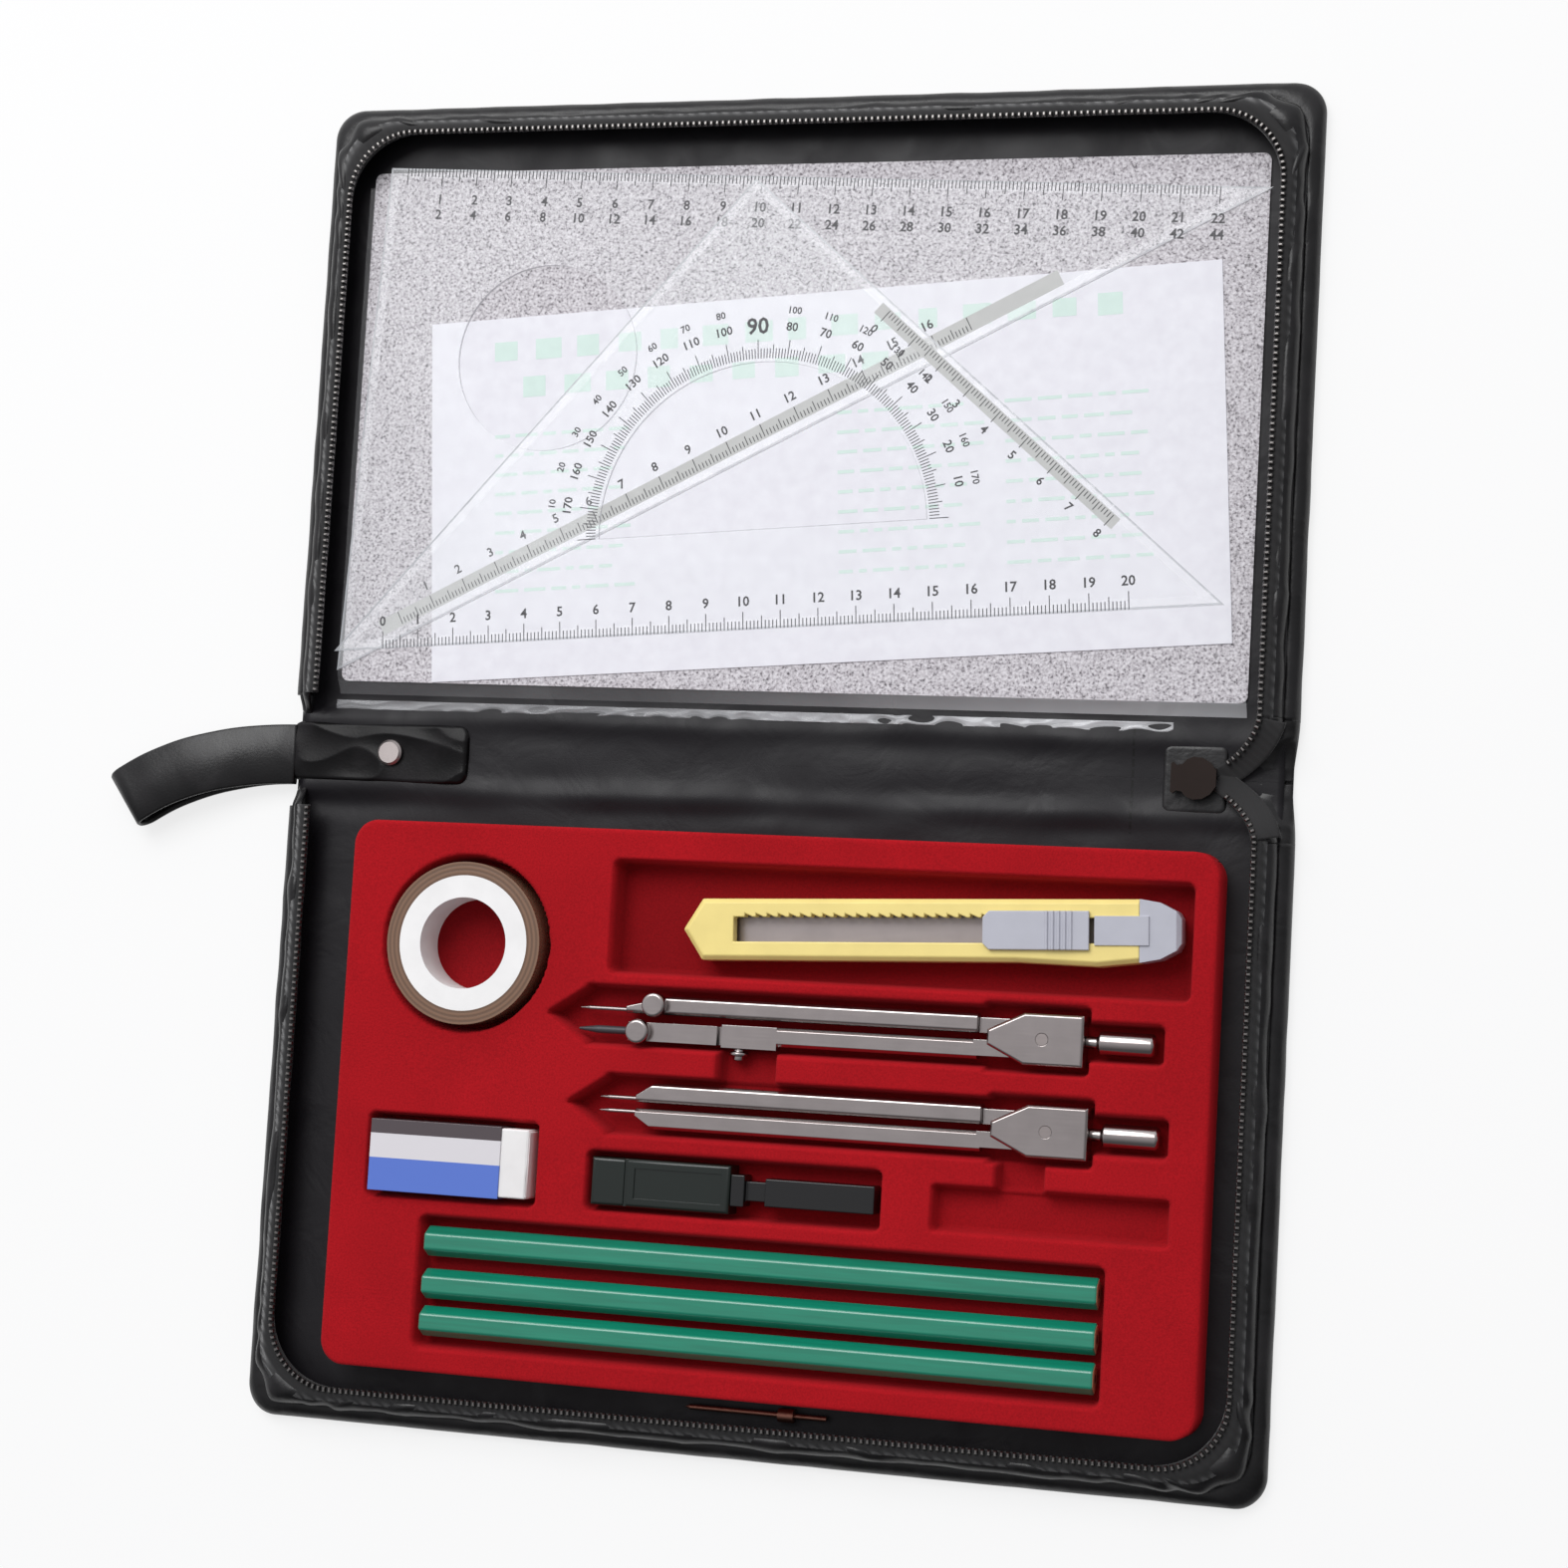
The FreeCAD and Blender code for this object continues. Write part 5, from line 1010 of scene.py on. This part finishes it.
class CASE_OT_tray(bpy.types.Operator):
    """Flocked tray with its recesses"""
    bl_idname = "drawing_case.tray"
    bl_label = "Flocked tray"

    def recesses(self, plan):
        """Each recess as its signed distance and its floor, round the things that lie in it."""
        low, high = span("tape_winding")
        away = np.linalg.norm(plan - (low + high)[:2] / 2, axis=-1)
        yield away - (high[0] - low[0]) / 2 - TAPE_ROOM, low[2]
        for nodes, left, right, beside in RECESSES:
            low = np.min([span(node)[0] for node in nodes], axis=0)
            high = np.max([span(node)[1] for node in nodes], axis=0)
            start = low[:2] - RECESS_ROOM - np.array([left, beside])
            stop = high[:2] + RECESS_ROOM + np.array([right, beside])
            yield box_distance(plan, start, stop, RECESS_ROUND), low[2]
        for tool, point in (("compass", "compass_needle"), ("divider", "divider_point_back")):
            low, high = span(f"{tool}_head")
            axis = (low[1] + high[1]) / 2
            tip = span(point)[0][0]
            bars = ((tip + LEG_HALF / 2 - 1, low[0] + 1, LEG_HALF, 0.3),
                    (low[0] - 1, high[0] + 1, HEAD_HALF, 1.2),
                    (high[0] - 2, span(f"{tool}_handle")[1][0] + 2, GRIP_HALF, 1.2))
            shape = wedge_distance(plan, (tip - LEG_HALF, axis), 1.5 * LEG_HALF, LEG_HALF)
            for start, stop, half, radius in bars:
                first, last = np.array([start, axis - half]), np.array([stop, axis + half])
                shape = np.minimum(shape, box_distance(plan, first, last, radius))
            yield shape, low[2]
        for opening in frame["record"]["physics"]["openings"]:
            if opening["name"] in NOTCHES:
                low, high = np.array(opening["box_m"]) / MM
                start = low[:2] - NOTCH_ROOM - np.array([NOTCHES[opening["name"]], 0])
                yield box_distance(plan, start, high[:2] + NOTCH_ROOM, 0.8), low[2] - 0.3

    def execute(self, context):
        tray = context.scene.tray_settings
        middle, half = (TRAY_LOW + TRAY_HIGH)[:2] / 2, (TRAY_HIGH - TRAY_LOW)[:2] / 2
        edge = half + 2 * tray.grid_step
        steps = [np.arange(-reach, reach + 0.01, tray.grid_step) for reach in edge]
        plan, depth = held_inside(np.stack(np.meshgrid(*steps, indexing="ij"), axis=-1), half, TRAY_ROUND)
        plan = plan + middle
        sink = np.zeros(depth.shape)
        for distance, floor in self.recesses(plan):
            sink = np.maximum(sink, (TRAY_HIGH[2] - floor) * smooth_step(0.5 - distance / tray.draft))
        lip = tray.lip * (1 - quarter_round(depth, tray.lip))
        swell = 0.12 * ripple(plan[..., 0], plan[..., 1], SEED + 50, 25, 70)
        z = TRAY_HIGH[2] - lip - sink + swell * smooth_step(depth / 6) * (sink < 0.5)
        points = raised(plan, np.where(depth <= 0, TRAY_LOW[2], z))
        piece = sheet("tray_flock", points, flock("red_flock"), ends=[border(*depth.shape)], outward=True)
        stand_in(piece, "flocked_tray", "tray_half")
        return {"FINISHED"}


# Wallet

FILM_LIFT = 0.4
MARK_LIFT = 0.03
DASH = 8
# Rows of dashes at the head of the paper: their place down the sheet, and where they start and end
HEADING_ROWS = ((9, 18, 190), (19, 26, 130))
PRINT_COLUMNS = (18, 112, 156)
COLUMN_WIDE = 34
SCALE_REACH = (2.2, 3.4, 4.6)
SHORT_REACH = (1.6, 2.6, 3.6)
DEGREE_REACH = (2.6, 3.6, 5.0)
DEGREE_RADIUS = 44.8
# Strips of painted highlight along the edges of a clear square: name, distances from the edge, opacity and colour
EDGE_HIGHLIGHTS = (("cut", 0.0, 0.5, 0.75, "#b4b7bb"), ("bevel", 0.5, 2.6, 0.22, "#f4f5f8"))


def far(points, axis, sign):
    """The plan place of the point that lies furthest along an axis, or against it."""
    return points[(sign * points[:, axis]).argmax(), :2]


def left_of(forward):
    """A plan direction turned a quarter to the left."""
    return np.array([-forward[1], forward[0]])


def glyphs(text, size):
    """The outline of a plain number as points and faces, centred on the origin, in millimetres."""
    curve = bpy.data.curves.new("figure", "FONT")
    curve.body = text
    curve.size = size
    curve.offset = size * 0.022
    curve.align_x = "CENTER"
    curve.align_y = "CENTER"
    curve.resolution_u = 2
    holder = bpy.data.objects.new("figure", curve)
    bpy.context.scene.collection.objects.link(holder)
    bpy.context.view_layer.update()
    mesh = bpy.data.meshes.new_from_object(holder)
    points = np.zeros(len(mesh.vertices) * 3)
    mesh.vertices.foreach_get("co", points)
    faces = [list(face.vertices) for face in mesh.polygons]
    bpy.data.objects.remove(holder)
    bpy.data.curves.remove(curve)
    bpy.data.meshes.remove(mesh)
    return points.reshape(-1, 3), faces


def mark_size(index, reach):
    """The length of a mark: longer at the fives, longest at the tens."""
    if index % 10 == 0:
        return reach[2]
    return reach[1] if index % 5 == 0 else reach[0]


class Marks:
    """Flat marks gathered into one mesh: strokes, strips and figures at one height."""

    def __init__(self, level):
        self.level = level
        self.points, self.faces = [], []

    def put(self, flat, faces):
        """Add plan points and the faces between them."""
        start = sum(len(block) for block in self.points)
        self.points.append(raised(flat, np.full(len(flat), self.level)))
        self.faces += [[start + index for index in face] for face in faces]

    def stroke(self, start, stop, wide):
        """A straight mark from one plan point to another."""
        side = left_of(unit(stop - start)) * wide / 2
        self.put(np.array([start - side, stop - side, stop + side, start + side]), [[0, 1, 2, 3]])

    def edging(self, outline, start, stop):
        """A mitred strip along the inside of an outline, between two distances from its edge."""
        outline = np.array(outline)
        ahead = np.array([unit(step) for step in np.roll(outline, -1, axis=0) - outline])
        behind = np.roll(ahead, 1, axis=0)
        turn = np.abs(ahead[:, 0] * behind[:, 1] - ahead[:, 1] * behind[:, 0])
        inward = (ahead - behind) / turn[:, None]
        count = len(outline)
        faces = [[i, (i + 1) % count, count + (i + 1) % count, count + i] for i in range(count)]
        self.put(np.concatenate([outline + inward * start, outline + inward * stop]), faces)

    def figure(self, text, at, size, forward):
        """A number whose foot runs along a direction."""
        points, faces = glyphs(text, size)
        self.put(at + points[:, :1] * forward + points[:, 1:2] * left_of(forward), faces)

    def scale(self, start, forward, inward, last, reach=SCALE_REACH):
        """Millimetre marks along a line, longer at the fives and tens."""
        for index in range(last + 1):
            foot = start + forward * index
            self.stroke(foot, foot + inward * mark_size(index, reach), 0.26)

    def count(self, numbers, start, forward, size, times=1):
        """Numbers at every centimetre along a line."""
        for number in numbers:
            self.figure(str(number * times), start + forward * number * 10, size, forward)

    def piece(self, name, finish, body, slot="acrylic"):
        """The gathered marks as one piece of a body."""
        made = make(name, np.concatenate(self.points), self.faces, finish, smooth=False)
        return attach(made, body)


class CASE_OT_wallet(bpy.types.Operator):
    """Clear wallet: film, speckled card and folded paper"""
    bl_idname = "drawing_case.wallet"
    bl_label = "Wallet"

    def execute(self, context):
        dress(speckled("speckled_card"), "speckled_card")
        dress(paper_sheet("folded_paper"), "folded_paper")
        low, high = span("wallet_film")
        x = np.linspace(low[0], high[0], 160)[None, :]
        y = np.linspace(low[1] + 0.6, high[1], 110)[:, None]
        lift = high[2] - FLOOR - 0.45 + 0.16 * ripple(x, y, SEED + 60, 18, 60)
        z = FLOOR + FILM_LIFT + lift * smooth_step((y - low[1]) / 6)
        # Past this hem line the film carries a painted glare
        hem = span("speckled_card")[0][1] + 0.4
        points = np.stack(np.broadcast_arrays(x, y, z), axis=-1)
        film = sheet("wallet_sheet", points, clear_film("clear_film", hem=hem))
        film.data.flip_normals()
        see_through(film)
        stand_in(film, "wallet_film", "wallet")
        self.weld(low, high)
        self.printing()
        return {"FINISHED"}

    def weld(self, low, high):
        """The welded edge of the film on the lid's lining: a narrow crinkled strip."""
        x = np.linspace(low[0] - 1, high[0] - 18, 320)[None, :]
        y = np.linspace(LID_FOLD + 0.6, low[1] - 1.0, 14)[:, None]
        z = FLOOR + FILM_LIFT + 0.25 * creases(x, y * 2, SEED + 61, 5, 14)
        points = np.stack(np.broadcast_arrays(x, y, z), axis=-1)
        # The whole strip lies past its hem, so all of it carries the painted glare
        strip = sheet("wallet_weld_strip", points, clear_film("welded_film", 0.12, hem=low[1]))
        strip.data.flip_normals()
        thicken(strip, 0.15)
        over_fold(strip, "lid")

    def printing(self):
        """Ruled rows of pale dashes on the paper: two heading rows, then columns of short lines."""
        points = corners("folded_paper")
        left, top, foot = far(points, 0, -1), far(points, 1, 1), far(points, 1, -1)
        forward, down = unit(top - left), unit(foot - left)
        rng = np.random.default_rng(SEED + 62)
        marks = Marks(points[:, 2].max() + MARK_LIFT)
        for drop, first, last in HEADING_ROWS:
            for at in np.arange(first, last, DASH * 1.45):
                start = left + forward * at + down * drop
                stop = start + forward * DASH * rng.uniform(0.6, 0.95)
                marks.stroke(start, stop, 6 * rng.uniform(0.7, 1.0))
        for column in PRINT_COLUMNS:
            for drop in np.arange(32, 78, 5.2):
                at = column
                while at < column + COLUMN_WIDE:
                    size = rng.uniform(2, 7)
                    start = left + forward * at + down * drop
                    marks.stroke(start, start + forward * size, 0.9)
                    at += size + 1.6
        marks.piece("paper_printing", plain_ink("print_ink", tint("print_green")), "wallet", "paper")


class CASE_OT_squares(bpy.types.Operator):
    """Clear set squares with their scales"""
    bl_idname = "drawing_case.squares"
    bl_label = "Set squares"

    def execute(self, context):
        for node in ("set_square_long", "set_square_equal"):
            # The cut edges carry a painted highlight at 0.6 opacity
            dress(clear_plastic(f"{node}_acrylic", node, 0.06, 0.6), node)
            see_through(frame["nodes"][node])
        self.long_square()
        self.equal_square()
        return {"FINISHED"}

    def long_square(self):
        """A scale on the long leg with two rows of numbers, and one on a grey strip on the slanted edge."""
        points = corners("set_square_long")
        right_angle, tip, foot = far(points, 1, 1), far(points, 0, 1), far(points, 1, -1)
        forward, down, slant = unit(tip - right_angle), unit(foot - right_angle), unit(tip - foot)
        marks = Marks(points[:, 2].max() + MARK_LIFT)
        zero = right_angle + forward * 5.0
        marks.scale(zero, forward, down, 220)
        marks.count(range(1, 23), zero + down * 8.4, forward, 3.6)
        marks.count(range(1, 23), zero + down * 12.6, forward, 3.6, 2)
        inward = left_of(slant)
        start = foot + slant * 22 + inward * 3
        marks.scale(start, slant, inward, 170, SHORT_REACH)
        marks.count(range(1, 17), start + inward * 6.4, slant, 3.4)
        strip = Marks(marks.level - 0.01)
        strip.stroke(start - slant * 6 + inward * 1.6, start + slant * 196 + inward * 1.6, 4.2)
        self.lay("long_square", "scale", marks, strip, (right_angle, foot, tip))

    def equal_square(self):
        """Scales on the long edge and one leg, and a half-round degree scale round the window."""
        points = corners("set_square_equal")
        left, right, apex = far(points, 0, -1), far(points, 0, 1), far(points, 1, 1)
        forward, leg = unit(right - left), unit(right - apex)
        up, inward = left_of(forward), -left_of(leg)
        marks = Marks(points[:, 2].max() + MARK_LIFT)
        zero = left + forward * 14.0
        marks.scale(zero, forward, up, 200)
        marks.count(range(21), zero + up * 7.2, forward, 3.6)
        self.degrees(marks, (left + right) / 2 + up * 26.0, forward)
        start = apex + leg * 52 + inward * 2
        marks.scale(start, leg, inward, 80, SHORT_REACH)
        marks.count(range(9), start + inward * 6.2, leg, 3.2)
        strip = Marks(marks.level - 0.01)
        strip.stroke(start + inward * 1.4 - leg * 3, start + inward * 1.4 + leg * 82, 3.4)
        self.lay("equal_square", "degree", marks, strip, (left, right, apex))

    def degrees(self, marks, middle, forward):
        """A half-round scale: a mark at each degree, and numbers both ways at the tens."""
        for degree in range(181):
            angle = math.radians(degree)
            ray = forward * math.cos(angle) + left_of(forward) * math.sin(angle)
            foot = middle + ray * DEGREE_RADIUS
            marks.stroke(foot, foot + ray * mark_size(degree, DEGREE_REACH), 0.25)
            if degree % 10 == 0 and 0 < degree < 180:
                marks.figure(str(degree), foot + ray * 8.4, 6.0 if degree == 90 else 3.2, -left_of(ray))
                if degree != 90:
                    marks.figure(str(180 - degree), foot + ray * 12.8, 2.6, -left_of(ray))

    def lay(self, square, use, marks, strip, outline):
        """The printed scales, the grey strip under them and the painted highlights along the edges of one square.
        """
        see_through(marks.piece(f"{square}_scale", plain_ink(f"{use}_ink", tint("ink")), square))
        see_through(strip.piece(f"{square}_strip", plain_ink(f"{use}_strip", tint("band_grey")), square))
        # Each strip is a painted highlight along the edge
        for part, start, stop, alpha, paint in EDGE_HIGHLIGHTS:
            edge = Marks(marks.level - 0.02)
            edge.edging(outline, start, stop)
            finish = clear_film(f"{square}_{part}_edge", alpha, paint)
            see_through(edge.piece(f"{square}_{part}", finish, square))


# Tools and boards

class CASE_OT_tape_roll(bpy.types.Operator):
    """Roll of adhesive tape"""
    bl_idname = "drawing_case.tape_roll"
    bl_label = "Tape roll"

    def execute(self, context):
        dress(moulded("tape_core_plastic", tint("core"), 0.5), "tape_core")
        dress(wound_tape("wound_tape"), "tape_winding")
        return {"FINISHED"}


class CASE_OT_cutter(bpy.types.Operator):
    """Snap-blade cutter"""
    bl_idname = "drawing_case.cutter"
    bl_label = "Cutter"

    def execute(self, context):
        dress(moulded("cutter_grey", tint("grey"), 0.4), "cutter_cap", "cutter_slider")
        dress(moulded("cutter_yellow", tint("yellow"), 0.3), "cutter_body")
        dress(plated("cutter_steel", tint("steel"), 0.35), "cutter_channel", "cutter_blade")
        soften(0.35, "cutter_body", "cutter_cap", "cutter_slider")
        return {"FINISHED"}


class CASE_OT_instruments(bpy.types.Operator):
    """Compass, divider and spare needle bar"""
    bl_idname = "drawing_case.instruments"
    bl_label = "Compass and divider"

    def execute(self, context):
        bright = ("compass_head", "compass_handle", "needle_leg", "lead_leg", "lead_arm", "needle_knob",
                  "lead_knob", "knee_screw", "divider_head", "divider_handle", "divider_leg_back",
                  "divider_leg_front")
        dress(plated("bright_nickel", tint("nickel"), 0.2), *bright)
        soften(0.3, *bright)
        dress(plated("pin_steel", tint("steel"), 0.35), "compass_pivot", "divider_pivot", "compass_needle",
              "divider_point_back", "divider_point_front")
        dress(moulded("graphite", tint("graphite"), 0.45), "compass_lead")
        dress(plated("bar_copper", tint("copper"), 0.45), "spare_needle_bar")
        return {"FINISHED"}


class CASE_OT_eraser(bpy.types.Operator):
    """Eraser and its printed sleeve"""
    bl_idname = "drawing_case.eraser"
    bl_label = "Eraser"

    def execute(self, context):
        dress(moulded("vinyl_white", tint("vinyl"), 0.6, 0.05), "eraser_block")
        dress(printed_sleeve("sleeve_card"), "eraser_sleeve")
        soften(0.5, "eraser_block")
        soften(0.2, "eraser_sleeve")
        return {"FINISHED"}


class CASE_OT_lead_box(bpy.types.Operator):
    """Lead box and its cap"""
    bl_idname = "drawing_case.lead_box"
    bl_label = "Lead box"

    def execute(self, context):
        dress(moulded("box_green", tint("box_green"), 0.25), "lead_box_body")
        dress(moulded("box_black", tint("box_black"), 0.25), "lead_box_cap")
        soften(0.35, "lead_box_body", "lead_box_cap")
        return {"FINISHED"}


class CASE_OT_pencils(bpy.types.Operator):
    """Three lacquered pencils"""
    bl_idname = "drawing_case.pencils"
    bl_label = "Pencils"

    def execute(self, context):
        for node in ("pencil_a", "pencil_b", "pencil_c"):
            dress(lacquered_pencil(f"{node}_lacquer", node), node)
            soften(0.6, node)
        return {"FINISHED"}


class CASE_OT_boards(bpy.types.Operator):
    """Stiffening boards inside the covers"""
    bl_idname = "drawing_case.boards"
    bl_label = "Boards"

    def execute(self, context):
        dress(moulded("greyboard", hex_linear("#8f877c"), 0.9, 0.1), "tray_board", "spine_board", "lid_board")
        return {"FINISHED"}


# Stage

CAMERA_AT = (211.4, 27.0, 737.5)
CAMERA_AIM = (6.7, 88.0, 13.5)
SENSOR_WIDE = 36.0
GROUND_REACH = 6000.0
GROUND_LEVEL = -0.2
GROUND_WHITE = 0.8
# Places and sizes of the lamp in metres
LAMP_AT = (-0.35, 0.85, 1.15)
LAMP_AIM = (0, 0.09, 0)
LAMP_SIZE = 0.9
WINDOW = (-0.2, 0.75, 0.3)


class CASE_OT_stage(bpy.types.Operator):
    """Floor, lamps, room light and camera"""
    bl_idname = "drawing_case.stage"
    bl_label = "Stage"

    def execute(self, context):
        settings = context.scene.stage_settings
        self.floor(settings)
        self.lamp(settings)
        self.room(settings)
        self.camera(settings)
        context.scene.view_settings.view_transform = "Standard"
        return {"FINISHED"}

    def floor(self, settings):
        """A pale floor that shows white to the camera and keeps a soft shadow."""
        made, tree, _ = material("pale_floor")
        coat(made, Base_Color=settings.floor, Roughness=0.9)
        light = add(tree, "Emission", {"Color": settings.floor, "Strength": 1.0})
        seen = add(tree, "LightPath", out="Is Camera Ray")
        for ray in ("Is Glossy Ray", "Is Transmission Ray"):
            seen = add(tree, "Math", {0: seen, 1: add(tree, "LightPath", out=ray)}, operation="MAXIMUM")
        share = add(tree, "Math", {0: seen, 1: GROUND_WHITE}, operation="MULTIPLY")
        lit = tree.nodes["Principled BSDF"].outputs[0]
        mix = add(tree, "MixShader", {0: share, 1: lit, 2: light})
        tree.links.new(mix, tree.nodes["Material Output"].inputs["Surface"])
        ring = [(-1, -1), (1, -1), (1, 1), (-1, 1)]
        square = [(x * GROUND_REACH, y * GROUND_REACH, GROUND_LEVEL) for x, y in ring]
        make("floor", square, [[0, 1, 2, 3]], made, smooth=False)

    def lamp(self, settings):
        """A wide soft key lamp behind the lid to the left."""
        key = bpy.data.lights.new("key", "AREA")
        key.energy = settings.key
        key.size = LAMP_SIZE
        holder = bpy.data.objects.new("key", key)
        holder.location = LAMP_AT
        aim = Vector(LAMP_AIM) - holder.location
        holder.rotation_euler = aim.to_track_quat("-Z", "Y").to_euler()
        bpy.context.scene.collection.objects.link(holder)

    def room(self, settings):
        """Light of a room that is brighter on the lamp's side, and white to the camera."""
        world = bpy.data.worlds.new("room")
        bpy.context.scene.world = world
        world.use_nodes = True
        tree = world.node_tree
        towards = add(tree, "TexCoord", out="Generated")
        window = add(tree, "VectorMath", {0: towards, 1: WINDOW}, "Value", operation="DOT_PRODUCT")
        values = {"Value": window, "From Min": -0.35, "From Max": 0.7, "To Min": 0.15, "To Max": 1.0}
        level = add(tree, "Math", {0: add(tree, "MapRange", values), 1: settings.fill}, operation="MULTIPLY")
        seen = add(tree, "LightPath", out="Is Camera Ray")
        level = add(tree, "Math", {0: level, 1: seen}, operation="MAXIMUM")
        ground = tree.nodes["Background"].inputs
        join(tree, ground["Color"], hex_linear("#fbfbff"))
        join(tree, ground["Strength"], level)

    def camera(self, settings):
        """A camera set by its place, its aim and its roll."""
        view = bpy.data.cameras.new("view")
        view.lens = settings.lens
        view.sensor_width = SENSOR_WIDE
        view.clip_end = 20
        holder = bpy.data.objects.new("view", view)
        at, aim = Vector(CAMERA_AT) * MM, Vector(CAMERA_AIM) * MM
        back = (at - aim).normalized()
        right = Vector((0, 1, 0)).cross(back).normalized()
        up = back.cross(right)
        turn = Matrix((right, up, back)).transposed() @ Matrix.Rotation(settings.roll, 3, "Z")
        holder.matrix_world = Matrix.Translation(at) @ turn.to_4x4()
        bpy.context.scene.collection.objects.link(holder)
        bpy.context.scene.camera = holder


SETTINGS = {"case_settings": CaseSettings, "tray_settings": TraySettings, "tool_settings_case": ToolSettings,
            "stage_settings": StageSettings}
OPERATORS = (CASE_OT_walls, CASE_OT_covers, CASE_OT_linings, CASE_OT_boards, CASE_OT_zip, CASE_OT_strap,
             CASE_OT_tray, CASE_OT_wallet, CASE_OT_squares, CASE_OT_tape_roll, CASE_OT_cutter,
             CASE_OT_instruments, CASE_OT_eraser, CASE_OT_lead_box, CASE_OT_pencils, CASE_OT_stage)


class CASE_PT_panel(bpy.types.Panel):
    """The pieces of the drawing case"""
    bl_label = "Drawing case"
    bl_idname = "CASE_PT_panel"
    bl_space_type = "VIEW_3D"
    bl_region_type = "UI"
    bl_category = "Drawing case"

    def draw(self, context):
        for operator in OPERATORS:
            self.layout.operator(operator.bl_idname)


CLASSES = (*SETTINGS.values(), *OPERATORS, CASE_PT_panel)


def register():
    """Add the settings, the operators and the panel to Blender."""
    for made in CLASSES:
        bpy.utils.register_class(made)
    for name, made in SETTINGS.items():
        setattr(bpy.types.Scene, name, bpy.props.PointerProperty(type=made))


def unregister():
    """Take them out again."""
    for name in SETTINGS:
        delattr(bpy.types.Scene, name)
    for made in reversed(CLASSES):
        bpy.utils.unregister_class(made)


def main():
    """Build every piece in order."""
    register()
    for operator in OPERATORS:
        group, name = operator.bl_idname.split(".")
        getattr(getattr(bpy.ops, group), name)()


if __name__ == "__main__":
    main()
